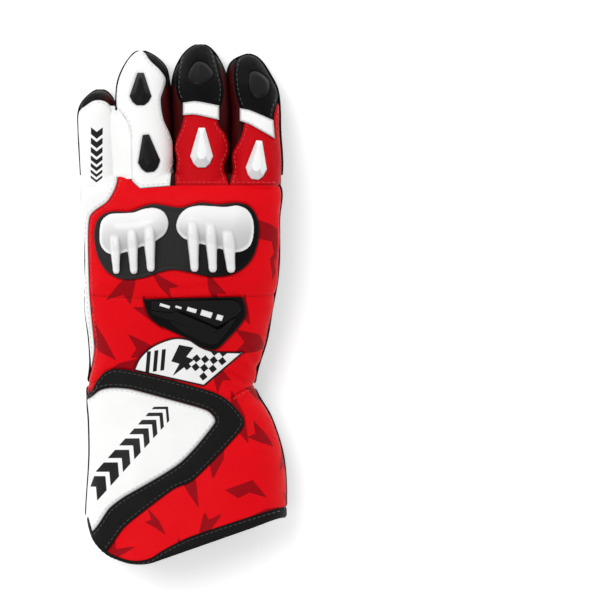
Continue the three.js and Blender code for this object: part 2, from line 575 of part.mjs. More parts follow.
// The knuckle guard: a dark base under two white shells, each a dome with three ribs in one moulding.
const baseTop = FIT_GAP + KNUCKLE_BASE_THICKNESS;
const knuckleBase = handLayer(KNUCKLE_BASE, FIT_GAP, KNUCKLE_BASE_THICKNESS);
addPiece("knuckle_base", mainBody(knuckleBase), "base");
const underShells = tube(HAND, HAND_SIDES, baseTop + FIT_GAP);
function knuckleShell(outline, ribs) {
  const domeRings = SHELL_DOME.map(({ share, lift }) => ({ outline: scaled(outline, share), lift }));
  const dome = draped(HAND, domeRings);
  const fins = ribs.map((rib) => {
    const strip = (share) => stadium(rib, (rib.width / 2) * share);
    return draped(HAND, RIB_ROUND.map(({ share, lift }) => ({ outline: strip(share), lift })));
  });
  return mainBody(joined([dome, ...fins]).subtract(underShells));
}
addPiece("knuckle_shell_outer", knuckleShell(OUTER_SHELL, OUTER_RIBS), "shell");
addPiece("knuckle_shell_inner", knuckleShell(INNER_SHELL, INNER_RIBS), "shell");

// The wrist plate: a lower plate, and a cap on it with vents through to white inserts.
const capLift = FIT_GAP + PLATE_THICKNESS + FIT_GAP;
addPiece("wrist_plate", mainBody(handLayer(WRIST_PLATE, FIT_GAP, PLATE_THICKNESS)), "plate");
function ventOutline({ x, y, length, width }, gap = 0) {
  const [half, side, lean] = [length / 2 + gap, width / 2 + gap, VENT_LEAN * width];
  const corners = [[-half - lean, -side], [half - lean, -side], [half + lean, side], [-half + lean, side]];
  return corners.map(([u, v]) => [x + u, y + v - VENT_FALL * u]);
}
const cap = VENTS.reduce(
  (solid, vent) => solid.subtract(prism(ventOutline(vent, VENT_CLEARANCE))),
  handLayer(WRIST_PLATE_CAP, capLift, PLATE_CAP_THICKNESS));
addPiece("wrist_plate_cap", mainBody(cap), "plate");
VENTS.forEach((vent, index) => {
  const insert = handLayer(ventOutline(vent), capLift, PLATE_CAP_THICKNESS - VENT_SUNK);
  addPiece(`vent_${index + 1}`, mainBody(insert), "white");
});

// Finger guards stand on the finger's back and follow its slope.
for (const drop of DROPS) {
  const rings = DROP_RINGS.map(({ across, along, back, lift }) => {
    const outline = placed(DROP_OUTLINE.map(([u, v]) => [u * across, v * along - back]), drop);
    return { outline, lift };
  });
  const solid = draped(drop.on, rings).subtract(tube(drop.on, FINGER_SIDES, FIT_GAP));
  addPiece(drop.name, mainBody(solid), drop.dark ? "plate" : "shell");
}
for (const pad of TIP_PADS) {
  const outlineAt = (share) => placed(TIP_PAD_OUTLINE, pad, share);
  const rings = TIP_PAD_RINGS.map(({ share, lift }) => ({ outline: outlineAt(share), lift }));
  const solid = draped(pad.on, rings).subtract(tube(pad.on, FINGER_SIDES, FIT_GAP));
  addPiece(pad.name, mainBody(solid), "base");
}

// The origin is the middle of the footprint, on the floor.
const bounds = new THREE.Box3().setFromObject(glove);
offset.position.set(-(bounds.min.x + bounds.max.x) / 2, -(bounds.min.y + bounds.max.y) / 2, 0);

export default glove;
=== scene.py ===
import math
from collections import namedtuple
from contextlib import contextmanager

import bmesh
import bpy
import numpy as np
from mathutils import Euler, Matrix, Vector
from mathutils.bvhtree import BVHTree


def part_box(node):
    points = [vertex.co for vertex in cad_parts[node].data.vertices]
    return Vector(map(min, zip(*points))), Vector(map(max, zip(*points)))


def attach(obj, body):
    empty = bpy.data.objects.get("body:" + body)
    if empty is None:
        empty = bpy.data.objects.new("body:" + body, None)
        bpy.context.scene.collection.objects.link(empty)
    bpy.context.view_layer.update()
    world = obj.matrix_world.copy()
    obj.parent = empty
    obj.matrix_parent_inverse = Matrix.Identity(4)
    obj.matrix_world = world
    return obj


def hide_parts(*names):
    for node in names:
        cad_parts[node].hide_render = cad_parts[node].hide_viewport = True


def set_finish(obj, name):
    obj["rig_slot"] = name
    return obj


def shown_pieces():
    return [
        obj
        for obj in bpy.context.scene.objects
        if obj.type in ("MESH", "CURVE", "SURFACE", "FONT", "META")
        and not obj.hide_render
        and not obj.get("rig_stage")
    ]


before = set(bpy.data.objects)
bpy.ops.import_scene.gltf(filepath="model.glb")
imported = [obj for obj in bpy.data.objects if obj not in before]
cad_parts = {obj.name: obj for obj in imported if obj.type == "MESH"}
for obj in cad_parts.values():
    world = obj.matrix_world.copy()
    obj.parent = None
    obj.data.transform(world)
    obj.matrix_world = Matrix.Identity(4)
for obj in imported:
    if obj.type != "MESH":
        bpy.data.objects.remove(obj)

bl_info = {
    "name": "Racing glove",
    "version": (1, 0, 0),
    "blender": (4, 5, 0),
    "location": "View3D > Sidebar > Glove",
    "description": "Builds a left racing glove of leather panels with moulded guards",
    "category": "Object",
}

# Sizes are millimetres in the drawing's own axes: x across the hand, y from the hem to the fingertips,
# z up from the floor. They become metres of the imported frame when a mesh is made.
MM = 0.001
PLATE_LEFT = -24
PLATE_LOW = 134
SHIFT = np.array([
    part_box("wrist_plate")[0][0] / MM - PLATE_LEFT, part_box("wrist_plate")[0][1] / MM - PLATE_LOW, 0.0])

# One cross-section of a leather tube: a rounded oval between left and right, bottom and top.
Section = namedtuple("Section", "y left right bottom top")
ROUNDNESS = 2.5


def sections_of(*rows):
    return [Section(*row) for row in rows]


HAND = sections_of(
    (-8, -59, 64, -0.5, 64),
    (30, -58.8, 64.8, -0.5, 64),
    (71, -56.5, 62, -0.5, 60),
    (92, -57, 55, 0, 55.5),
    (112, -58.5, 45, 4, 51),
    (121, -57, 46.5, 6, 52),
    (140, -57.5, 52.5, 12, 57.5),
    (159, -60, 56, 18, 63.5),
    (178, -60, 59.5, 23, 68),
    (198, -60, 60.5, 26, 71),
    (216, -61, 60.5, 28.5, 72),
    (236, -62, 61, 32, 67.5),
    (241, -58, 57, 36, 63),
    (243.5, -45, 45, 43, 56),
)
LITTLE = sections_of(
    (230, -61.6, -40.3, 31.5, 64.5),
    (249, -62.8, -41, 26.5, 55),
    (273, -64.3, -41.7, 15, 43),
    (282, -64.5, -42, 9, 36.5),
    (288, -62.8, -42.6, 4, 30),
    (293, -58.5, -45.2, 0, 22),
    (296.5, -53.5, -49.5, 6, 11),
)
RING = sections_of(
    (230, -38.2, -4.4, 30.5, 69.5),
    (249, -39.6, -5.2, 28, 61.5),
    (277, -40.2, -6.4, 20, 50.5),
    (291, -40.6, -7.4, 13, 43),
    (303, -39.4, -8.8, 5.5, 34.5),
    (311, -36.2, -10.8, 0.5, 26.5),
    (317, -32.3, -16.5, -0.5, 19),
    (321, -27.8, -24, 6, 10.5),
)
MIDDLE = sections_of(
    (230, -2.9, 29, 30.5, 69.5),
    (249, -4, 29.8, 28, 62.5),
    (277, -5, 30.2, 20.5, 51.5),
    (291, -5.9, 29.4, 13.5, 44),
    (304, -5.2, 27.4, 5.5, 35),
    (313, -2.4, 24.2, 0.5, 26),
    (320, 2, 19.8, -0.5, 18.5),
    (325, 9, 13.8, 6, 10.5),
)
INDEX = sections_of(
    (230, 29.8, 60.8, 30.5, 66.5),
    (248, 30.5, 62.3, 28, 61.5),
    (272, 30.9, 61, 21, 51.5),
    (286, 30.4, 60.7, 14, 44),
    (298, 29, 59, 7, 36),
    (306.5, 28.6, 54.6, 1.5, 27.5),
    (314, 31.2, 49.8, -0.5, 19.5),
    (318.5, 39.4, 44, 6, 10.5),
)
THUMB = sections_of(
    (104, 22, 36, 10, 22),
    (116, 8, 44.5, 2, 30),
    (130, -1, 48, -0.5, 35),
    (146, -2, 52.5, -0.5, 37),
    (161, 3, 55.5, -0.5, 36),
    (176, 8.5, 51.5, -0.5, 31),
    (190, 9, 42.5, -0.5, 27),
    (208, 4.8, 33.5, -0.5, 24),
    (228.5, 5.5, 23.8, 3, 17.5),
    (232, 11.5, 17.5, 8, 12),
)

# The side seam, seen from the side as (y, z): back panels are above it and palm panels below.
HAND_SIDE_SEAM = [(-60, 27), (71, 27), (112, 25), (150, 34), (190, 44), (236, 48), (300, 48)]
LITTLE_SIDE_SEAM = [
    (-60, 27), (112, 25), (150, 34), (190, 43), (236, 44.5), (262, 34), (282, 20.5), (296, 7.5),
    (340, 7.5),
]
FINGER_SIDE_SEAM = [
    (200, 48), (236, 48), (249, 44.5), (263, 40.5), (277, 35), (290, 28), (302, 20.5), (316, 8.5),
    (340, 4),
]
THUMB_SEAM_Z = 12.5
THUMB_SIDE_SEAM = [(60, THUMB_SEAM_Z), (260, THUMB_SEAM_Z)]
REACH = 400

# A finger's palm panel runs across the hand from its left to its right.
Finger = namedtuple("Finger", "name sections left right side seams bands")
FINGERS = [
    Finger("little", LITTLE, -REACH, -41.2, LITTLE_SIDE_SEAM, ["little_back"], []),
    Finger("ring", RING, -41.2, -5.6, FINGER_SIDE_SEAM, ["ring_back", "front_seam"], []),
    Finger(
        "middle", MIDDLE, -5.7, 30.1, FINGER_SIDE_SEAM,
        ["middle_back", "middle_cap", "front_seam"], ["middle_band"]),
    Finger(
        "index", INDEX, 28.3, REACH, FINGER_SIDE_SEAM,
        ["index_back", "index_cap", "front_seam"], ["index_band"]),
]

# Outlines in plan. Points past the glove's edge only carry a panel over the side.
HEM_LINE = [
    (80, 24), (64.5, 29), (42, 22), (-14, 2.5), (-20, 0.6), (-26, 0), (-33, 0.6), (-39, 2.5),
    (-45, 5), (-51, 9.5), (-56, 16), (-60, 28), (-80, 31),
]
BINDING_LINE = [
    (80, 31), (64.5, 35.5), (5, 17), (-11, 9), (-19, 4), (-26, 2.2), (-33, 2.6), (-39, 4.4),
    (-45, 7), (-50, 11), (-54.4, 17), (-58.2, 29), (-80, 33),
]
WRIST_LINE = [
    (-80, 112), (-57, 113), (-50, 116), (-38, 117), (5, 108), (20, 102.5), (28, 103), (46, 112),
    (80, 113),
]
WRIST_SEAM_UNDER_Y = 112
LITTLE_BACK = [
    (-80, 108), (-59, 113.5), (-56, 125), (-54.5, 135), (-57.5, 172), (-57, 217), (-45.5, 227),
    (-40, 239), (-43, 284), (-46.5, 288.5), (-51, 290.3), (-56, 289.7), (-64, 284.5), (-80, 280),
]
RING_BACK = [
    (-26, 234.5), (-7, 236), (-5.8, 246), (-3, 253), (-4.5, 263), (-11, 277), (-12.7, 285),
    (-13, 291), (-10, 303), (-14, 309.5), (-20, 315.3), (-26, 325), (-45, 325), (-45, 290),
    (-35.8, 279), (-33, 271), (-32, 241),
]
MIDDLE_BACK = [
    (29.6, 236.5), (26.3, 248), (29.6, 257.5), (29.4, 263), (27, 269), (23, 274), (22.5, 281),
    (16, 284.5), (9, 285.5), (1.5, 285), (1.2, 279), (-0.5, 272), (-4.7, 262), (-4.7, 258),
    (-3, 252.5), (-3.8, 246), (-3.6, 236.5),
]
INDEX_BACK = [
    (80, 236.5), (80, 291), (61, 290), (59, 286), (57.6, 279), (57.5, 271.5), (42.5, 279),
    (39.3, 279.7), (38.8, 273.5), (36.8, 266), (32.2, 258), (31.2, 253.5), (32.2, 247.5),
    (30, 236.5),
]
MIDDLE_CAP = [
    (1.5, 285.4), (9, 286), (16, 285), (22.6, 281.5), (25.5, 291), (25.5, 300), (17, 330),
    (2, 330), (-2, 313), (-3.3, 303), (-3, 294),
]
INDEX_CAP = [
    (39.4, 280.1), (42.5, 279.5), (57.2, 272), (57.3, 279), (58.7, 286.4), (60.5, 290.4),
    (80, 291.5), (80, 300), (60, 325), (38, 325), (33, 311), (33, 300), (35, 290),
]
HAND_FRONT_LINE = [
    (-80, 236), (-44, 236), (-41, 241.6), (-31, 241.6), (-27, 236), (-5, 236.2), (0, 236.5),
    (80, 236.5),
]
FINGER_ROOT_Y = 244.5
FLAP_BORDER = [
    (-80, 93), (-57.5, 107), (-53, 114.5), (-48, 120), (-42, 122), (-32, 121), (-4, 114.5),
    (21, 107), (29, 102.3), (35.5, 95.5), (38.8, 90), (38, 85.5), (33, 79), (14, 59), (6, 52),
    (-4.5, 47.5), (-26, 31.5), (-36, 23), (-56, 0), (-80, 0),
]
FLAP_PANEL = [
    (-80, 95), (-57.5, 104), (-51, 108.8), (-44, 110.3), (-32, 109.5), (11, 98), (17.5, 95.3),
    (21, 91), (21, 88.5), (0, 64), (-36, 42), (-45, 35), (-57.5, 19), (-80, 12),
]
MIDDLE_BAND = [
    (0.8, 280.5), (8.5, 280.7), (23.4, 277.5), (23.4, 286.5), (8.5, 289.2), (0.8, 288.3),
]
INDEX_BAND = [
    (36.3, 277), (42.5, 274.7), (58.2, 265.8), (57.3, 277.3), (42.5, 283.6), (36.3, 284.8),
]
WRIST_BADGE = [
    (-30, 121), (-26.5, 128.5), (-20, 135), (-12, 139.2), (-3, 141.5), (6, 140), (12, 136),
    (20, 133.2), (39, 132.4), (14, 111.2),
]
KNUCKLE_BASE = [
    (-54.5, 205.5), (-52.5, 214.5), (-47.5, 219), (-41, 220.3), (-32.5, 220), (-18, 224.7),
    (-1, 222.5), (12, 225.6), (23, 224.6), (34.5, 225.6), (41.5, 224), (46, 219), (48.2, 211),
    (47.5, 200.5), (44, 191), (37.5, 184), (29, 180.2), (17.5, 179.5), (-6, 183.8), (-23, 179),
    (-32.5, 177.7), (-40.5, 179), (-47.5, 184), (-52.5, 193),
]
OUTER_SHELL = [
    (-51, 207), (-49.5, 214.5), (-44.5, 218.5), (-30, 219.5), (-23, 221.8), (-16.5, 222.3),
    (-11, 220), (-8, 214), (-9.5, 207), (-15.5, 202), (-31, 195.8), (-40, 193.5), (-46, 194.2),
    (-50.3, 199),
]
INNER_SHELL = [
    (-3, 209.5), (-1.5, 217), (3.5, 222), (11, 223.8), (27.5, 223), (35, 223.8), (41, 221.3),
    (44.7, 215), (45, 205.5), (42.5, 198.3), (36, 194.8), (28, 195.8), (1.5, 203.3),
]
Rib = namedtuple("Rib", "x0 y0 x1 y1 width")
OUTER_RIBS = [
    Rib(-41.5, 206, -40.5, 184.3, 6.2),
    Rib(-31, 211, -29.6, 184.6, 6.8),
    Rib(-20.2, 212, -19, 186.2, 7.2),
]
INNER_RIBS = [
    Rib(6.8, 215.5, 8.2, 186.2, 7.4),
    Rib(18, 215, 19.6, 185.8, 7.4),
    Rib(28.6, 209.5, 30.8, 185.8, 7.8),
]
WRIST_PLATE = [
    (-24, 165.5), (38, 167), (40, 160), (39.5, 154), (35.5, 148), (22.5, 134.7), (17.5, 134),
    (11, 136), (4, 140.5), (-15, 150), (-20.5, 155.5),
]
WRIST_PLATE_CAP = [
    (-18.6, 164.2), (32, 164.8), (35.4, 163), (37, 158.6), (32.3, 154), (25.5, 149.9),
    (22.4, 148.6), (19.8, 149.3), (7, 155.4), (-1.2, 158.7), (-6.5, 157.1), (-18.6, 158.6),
]
PLATE_STEP = [
    (-18.6, 158.3), (-6.5, 156.8), (-2.6, 157.5), (6.2, 153.8), (17.6, 149), (21.5, 146.8),
    (24.6, 146.8), (28.1, 149.6), (32.4, 153.4), (33.6, 153.2), (28.3, 145.6), (22.2, 138),
    (19.3, 137.2), (14.5, 138.2), (8.8, 141.2), (0, 145.7), (-5.8, 150.2), (-7.4, 152.8),
    (-18.6, 156.6),
]
Vent = namedtuple("Vent", "x y length width")
VENTS = [
    Vent(-10.3, 161.3, 6.4, 1.9),
    Vent(-1.8, 160.4, 4, 1.5),
    Vent(6.5, 158.7, 6, 2.6),
    Vent(15.6, 156.3, 7, 3.6),
    Vent(23.8, 154, 4, 3.4),
]
VENT_FALL = 0.3
VENT_LEAN = 0.35
Drop = namedtuple("Drop", "name on x y width length turn dark")
DROPS = [
    Drop("ring_drop_front", RING, -25.8, 297, 13.8, 20.5, 0, True),
    Drop("ring_drop_rear", RING, -20.8, 256.5, 14, 23.5, 7, True),
    Drop("middle_drop", MIDDLE, 12.6, 260, 14.4, 25, 0, False),
    Drop("index_drop", INDEX, 47.2, 252.3, 13.4, 24.5, -6, False),
]
DROP_OUTLINE = [
    (-0.14, 0.5), (0.14, 0.5), (0.5, -0.22), (0.36, -0.4), (0.17, -0.5), (-0.17, -0.5),
    (-0.36, -0.4), (-0.5, -0.22),
]
TIP_PADS = [
    Drop("middle_tip_pad", MIDDLE, 11.7, 307, 15.5, 14.5, 0, True),
    Drop("index_tip_pad", INDEX, 48, 300, 13, 17.5, 22, True),
]
TIP_PAD_OUTLINE = [
    (-0.12, 0.5), (0.2, 0.42), (0.5, 0.02), (0.42, -0.25), (0.12, -0.48), (-0.28, -0.48),
    (-0.5, -0.16), (-0.34, 0.3),
]
DROP_LOOKS = {True: ("Dark guard", "dark_guard"), False: ("White guard", "white_guard")}

# Rings of a faceted guard, from its foot to its top: width, length, shift along it and height.
DROP_RINGS = [(1, 1, 0, -0.4), (1, 1, 0, 1.3), (0.93, 0.95, 0, 1.9), (0.42, 0.62, 0.03, 4.5)]
TIP_PAD_RINGS = [(1, 1, 0, -0.4), (1, 1, 0, 1.0), (0.92, 0.92, 0, 1.5), (0.72, 0.72, 0, 2.1)]

# Thicknesses and heights.
WALL = 2.6
SEAM = 0.3
FINE_SEAM = 0.1
LAYER_LIFT = 0.2
FLAP_THICKNESS = 1.8
BADGE_THICKNESS = 1.1
BADGE_RIM = 0.9
BAND_THICKNESS = 1.1
BINDING_EXTRA = 0.9
BASE_LIFT = 0.1
BASE_THICKNESS = 2.7
SHELL_HEIGHT = 10.8
LIP_HEIGHT = 4.4
LIP_WIDTH = 1.8
SHELL_VOXEL = 0.45
RIB_SQUARENESS = 0.6
RIB_TAPER = 0.3
RIB_SLICES = 12
RIB_CROWN = ([0, 0.12, 0.35, 0.6, 0.85, 1], [8.6, 10.9, 12, 11, 9.2, 7.4])
PLATE_THICKNESS = 2.7
CAP_THICKNESS = 2.2
PRESSED = -0.45
PIPING_OUT = 0.45
FLAP_PIPING_OUT = 0.75
ROOT_TUCK = 4
HIDDEN_ROOT = 8
FLAP_SKIVE = 0.55
SHOULDER = 0.79
TIP_ROUNDING = 2.2
FAR_FROM_SEAM = 9.0
LINING_DEPTH = 1.5

# Lengths round the tubes, which set how many points a ring has at a pitch.
HAND_GIRTH = 330
FINGER_GIRTH = 112
THUMB_GIRTH = 140
HAND_HOLLOW_GIRTH = 300
FINGER_HOLLOW_GIRTH = 96
THUMB_HOLLOW_GIRTH = 110
HOLLOW_COARSENESS = 2.4
BINDING_SIDES = 480
BINDING_INNER_SIDES = 240
FLAP_SIDES = 500
BADGE_SIDES = 480
BAND_SIDES = 260
CORD_SIDES = 10
CORD_PITCH = 1.5

# The padded bridge between two fingers: its ends along the hand, and where its sides lie.
BRIDGE_SPAN = (240.5, 286.5)
BRIDGE_ROWS = 92
BRIDGE_STEPS = 33
BRIDGE_LEFT = ([240, 276, 286], [-42.8, -45, -44.8])
BRIDGE_RIGHT = ([240, 266, 275, 281, 286.5], [-30.4, -31, -33, -37, -41.8])
SENSOR_WIDTH = 36

# A stitch is left out on a steeper slope, or where its ends lie further apart than this many lengths.
STEEPEST_STITCH = 0.25
LONGEST_STITCH = 2.2


def millimetres(name, use, default, low, high):
    """A length in millimetres, for the sidebar."""
    return bpy.props.FloatProperty(
        name=name, description=use + ", in mm", default=default, min=low, max=high)


def colour_setting(name, use, default):
    """A colour, for the sidebar."""
    return bpy.props.FloatVectorProperty(
        name=name, description="Colour of " + use, subtype="COLOR", default=default)


class LeatherSizes(bpy.types.PropertyGroup):
    """How the leather is padded and sewn."""

    puff: millimetres("Padding", "Height that a panel swells between its seams", 0.9, 0, 3)
    puff_reach: millimetres("Swell width", "Distance from a seam over which a panel swells", 6.5, 1, 20)
    groove: millimetres("Seam depth", "Depth of the groove along a seam", 0.75, 0, 2)
    groove_width: millimetres("Seam width", "Half width of the groove along a seam", 0.95, 0.3, 3)
    undulation: millimetres("Unevenness", "Height of the soft waves in a panel", 0.22, 0, 2)
    pitch: millimetres("Mesh pitch", "Distance between points of the leather", 0.9, 0.4, 4)
    stitch_length: millimetres("Stitch length", "Length of one stitch", 2.3, 1, 6)
    stitch_pitch: millimetres("Stitch pitch", "Distance from stitch to stitch", 3.1, 1, 8)


class GloveColours(bpy.types.PropertyGroup):
    """The colours of the glove's leathers, rubbers and mouldings."""

    red: colour_setting("Red leather", "the red panels", (0.72, 0.0015, 0.006))
    dark_red: colour_setting("Tonal print", "the shards printed on the red leather", (0.3, 0.001, 0.005))
    fourchette: colour_setting("Fourchette", "the leather between two fingers", (0.035, 0.0004, 0.0008))
    white: colour_setting("White leather", "the white panels", (0.85, 0.85, 0.845))
    black: colour_setting("Black leather", "the black panels", (0.0018, 0.0018, 0.0018))
    border: colour_setting("Cuff border", "the flap's border and the binding", (0.0075, 0.0075, 0.0072))
    marks: colour_setting("Marks", "the marks printed on white leather", (0.003, 0.003, 0.003))
    rubber: colour_setting("Knuckle base", "the rubber under the shells", (0.023, 0.023, 0.0225))
    guard_white: colour_setting("White guards", "the white mouldings", (0.84, 0.84, 0.845))
    guard_dark: colour_setting("Dark guards", "the dark mouldings", (0.0062, 0.0062, 0.0062))


def metres(name, use, default):
    """A length in metres, for the sidebar."""
    return bpy.props.FloatProperty(
        name=name, description=use, default=default, min=0.1, unit="LENGTH")


def strength(name, use, default):
    """The strength of a light, for the sidebar."""
    return bpy.props.FloatProperty(name=name, description=use, default=default, min=0)


class StageSizes(bpy.types.PropertyGroup):
    """Camera, floor and lights."""

    camera_height: metres("Camera height", "Height of the camera above the floor", 8)
    frame_width: metres("View width", "Width that the camera sees at the glove", 0.38)
    frame_centre: bpy.props.FloatVectorProperty(
        name="View centre", description="Point that the camera looks down on", size=3,
        default=(0.07585, 0, 0.04), unit="LENGTH")
    floor_size: metres("Floor", "Side of the floor", 40)
    floor_glow: strength("Floor glow", "Light that the floor gives off", 0.34)
    sun: strength("Key light", "Strength of the key light", 1.4)
    sky: strength("Sky", "Strength of the pale surroundings", 0.7)


def eased(t, start, leaving, end, arriving):
    """Points on a smooth curve between two ends, with its direction given at each."""
    return (
        (2 * t**3 - 3 * t**2 + 1) * start + (t**3 - 2 * t**2 + t) * leaving
        + (3 * t**2 - 2 * t**3) * end + (t**3 - t**2) * arriving)


def curved(points, closed=False, step=1.4, corner=50):
    """The same line with its gentle bends rounded, as points about a step apart."""
    knots = np.array(points, float)
    count = len(knots)
    spans = count if closed else count - 1
    heading = np.roll(knots, -1, axis=0) - knots
    if not closed:
        heading[-1] = heading[-2]
    length = np.linalg.norm(heading, axis=1)
    unit = heading / length[:, None]
    before = np.roll(unit, 1, axis=0)
    if not closed:
        before[0] = unit[0]
    soft = unit + before
    soft /= np.linalg.norm(soft, axis=1)[:, None]
    bend = np.degrees(np.arccos(np.clip((unit * before).sum(1), -1, 1)))
    pull = np.minimum(length, np.roll(length, 1))
    if not closed:
        pull[0], pull[-1] = length[0], length[-2]
    sharp = (bend > corner)[:, None]
    leaving = np.where(sharp, unit, soft)
    arriving = np.where(sharp, before, soft)
    line = []
    for k in range(spans):
        following = (k + 1) % count
        pieces = max(1, round(length[k] / step))
        t = (np.arange(pieces) / pieces)[:, None]
        line.append(eased(
            t, knots[k], pull[k] * leaving[k], knots[following], pull[following] * arriving[following]))
    if not closed:
        line.append(knots[-1:])
    return np.concatenate(line)


def area_of(outline):
    """Signed area of an outline, positive where it runs anticlockwise."""
    x, y = outline[:, 0], outline[:, 1]
    return 0.5 * float((x * np.roll(y, -1) - y * np.roll(x, -1)).sum())


def anticlockwise(outline):
    points = np.array(outline, float)
    return points if area_of(points) > 0 else points[::-1]


def grown(outline, distance):
    """An outline with every side moved outwards by a distance."""
    points = np.array(outline, float)
    along = points - np.roll(points, 1, axis=0)
    along /= np.linalg.norm(along, axis=1)[:, None]
    onward = np.roll(along, -1, axis=0)
    out = np.stack([along[:, 1] + onward[:, 1], -along[:, 0] - onward[:, 0]], axis=1)
    out /= np.linalg.norm(out, axis=1)[:, None]
    stretch = 1 / np.maximum(0.5, np.sqrt((1 + (along * onward).sum(1)) / 2))
    return points + math.copysign(distance, distance * area_of(points)) * stretch[:, None] * out


def line_distance(x, y, line, closed=False, reach=22):
    """Distance of plan points from a line, with the way across it and the place along it."""
    points = np.array(line, float)
    ends = np.roll(points, -1, axis=0) if closed else points[1:]
    starts = points if closed else points[:-1]
    distance = np.full(x.shape, float(reach))
    across = np.zeros(x.shape + (2,))
    place = np.zeros(x.shape)
    low, high = points.min(0) - reach, points.max(0) + reach
    near = np.flatnonzero((x > low[0]) & (x < high[0]) & (y > low[1]) & (y < high[1]))
    if not len(near):
        return distance, across, place
    px, py = x[near], y[near]
    best, bx, by, bs = distance[near], np.zeros(len(near)), np.zeros(len(near)), np.zeros(len(near))
    run = 0.0
    for (x0, y0), (x1, y1) in zip(starts, ends):
        dx, dy = x1 - x0, y1 - y0
        square = dx * dx + dy * dy + 1e-12
        t = np.clip(((px - x0) * dx + (py - y0) * dy) / square, 0, 1)
        ex, ey = px - x0 - t * dx, py - y0 - t * dy
        d = np.hypot(ex, ey)
        nearer = d < best
        best = np.where(nearer, d, best)
        bx, by = np.where(nearer, ex, bx), np.where(nearer, ey, by)
        bs = np.where(nearer, run + t * math.sqrt(square), bs)
        run += math.sqrt(square)
    size = np.maximum(np.hypot(bx, by), 1e-6)
    distance[near], place[near] = best, bs
    across[near, 0], across[near, 1] = bx / size, by / size
    return distance, across, place


def inside(x, y, outline):
    """Whether plan points lie inside an outline."""
    points = np.array(outline, float)
    hit = np.zeros(x.shape, bool)
    for (x0, y0), (x1, y1) in zip(points, np.roll(points, -1, axis=0)):
        crossing = (y0 > y) != (y1 > y)
        hit ^= crossing & (x < (x1 - x0) * (y - y0) / (y1 - y0 + 1e-12) + x0)
    return hit


def depth_inside(x, y, outline, reach=22):
    """How far plan points lie inside an outline, negative outside it."""
    distance = line_distance(x, y, outline, closed=True, reach=reach)[0]
    return np.where(inside(x, y, outline), distance, -distance)


def waves(points, length, seed):
    """A smooth uneven field of about -1 to 1, with bumps of about one length."""
    chance = np.random.default_rng(seed)
    total = np.zeros(len(points))
    for _ in range(10):
        way = chance.normal(size=3)
        way *= 2 * math.pi / (length * chance.uniform(0.7, 1.6) * np.linalg.norm(way))
        total += np.sin(points @ way + chance.uniform(0, 2 * math.pi))
    return total / 3.2


def smooth_step(value, low, high):
    t = np.clip((value - low) / (high - low), 0, 1)
    return t * t * (3 - 2 * t)


def bell(value, width):
    """A bump that is 1 at nought and falls off within about twice its width."""
    return np.exp(-((value / width) ** 2))


def smooth_rows(sections, pitch):
    """Rows of a tube's sections on a smooth curve, about a pitch apart, with a small blunt end."""
    rows = np.array(sections, float)
    y, left, right, bottom, top = rows[-1]
    x, z = (left + right) / 2, (bottom + top) / 2
    rows = np.vstack([rows, [y + 0.5, x - 0.4, x + 0.4, z - 0.4, z + 0.4]])
    steps = np.diff(rows, axis=0)
    chord = np.sqrt(steps[:, 0] ** 2 + (steps[:, 1:] ** 2).sum(1) / 2)
    knots = np.concatenate([[0], np.cumsum(chord)])
    slopes = np.gradient(rows, knots, axis=0)
    at = np.linspace(0, knots[-1], max(4, round(knots[-1] / pitch)))
    index = np.clip(np.searchsorted(knots, at, side="right") - 1, 0, len(rows) - 2)
    gap = (knots[index + 1] - knots[index])[:, None]
    t = ((at - knots[index])[:, None]) / gap
    found = eased(t, rows[index], gap * slopes[index], rows[index + 1], gap * slopes[index + 1])
    return softened(found, TIP_ROUNDING / pitch)


def softened(rows, spread):
    """Rows with their bends rounded off along the tube; the first and the last row stay."""
    half = max(1, math.ceil(2.5 * spread))
    half = min(half, len(rows) - 1)
    weight = np.exp(-0.5 * (np.arange(-half, half + 1) / spread) ** 2)
    weight /= weight.sum()
    before = 2 * rows[0] - rows[half:0:-1]
    after = 2 * rows[-1] - rows[-2:-half - 2:-1]
    padded = np.vstack([before, rows, after])
    return np.column_stack([np.convolve(column, weight, "valid") for column in padded.T])


def tucked(rows, depth, length):
    """Rows of a finger drawn in at its root, so that its blunt end hides in the hand."""
    out = rows.copy()
    tuck = depth * (1 - smooth_step(rows[:, 0], rows[0, 0] + length / 3, rows[0, 0] + length))
    out[:, [1, 3]] += tuck[:, None]
    out[:, [2, 4]] -= tuck[:, None]
    return out


def widened(rows, grow, back=0):
    """Rows of a tube that is larger all round, or smaller where grow is negative."""
    out = rows.copy()
    share = np.clip(1 - (rows[-1, 0] - rows[:, 0]) / 16, 0, 1)
    out[:, 0] += grow * share
    out[0, 0] -= back
    for low, high in ((1, 2), (3, 4)):
        middle = (rows[:, low] + rows[:, high]) / 2
        half = np.maximum((rows[:, high] - rows[:, low]) / 2 + grow, 0.3)
        out[:, low], out[:, high] = middle - half, middle + half
    return out


def tube_points(rows, sides):
    """A grid of points round a tube's rows, evenly spaced along each oval."""
    angle = np.linspace(0, 2 * math.pi, 721)
    c, s = np.cos(angle), np.sin(angle)
    c = np.sign(c) * np.abs(c) ** (2 / ROUNDNESS)
    s = np.sign(s) * np.abs(s) ** (2 / ROUNDNESS)
    grid = np.empty((len(rows), sides, 3))
    share = np.arange(sides) / sides
    for r, (y, left, right, bottom, top) in enumerate(rows):
        x = (left + right) / 2 + (right - left) / 2 * c
        z = (bottom + top) / 2 + (top - bottom) / 2 * s
        run = np.concatenate([[0], np.cumsum(np.hypot(np.diff(x), np.diff(z)))])
        at = share * run[-1]
        grid[r, :, 0] = np.interp(at, run, x)
        grid[r, :, 1] = y
        grid[r, :, 2] = np.interp(at, run, z)
    return grid


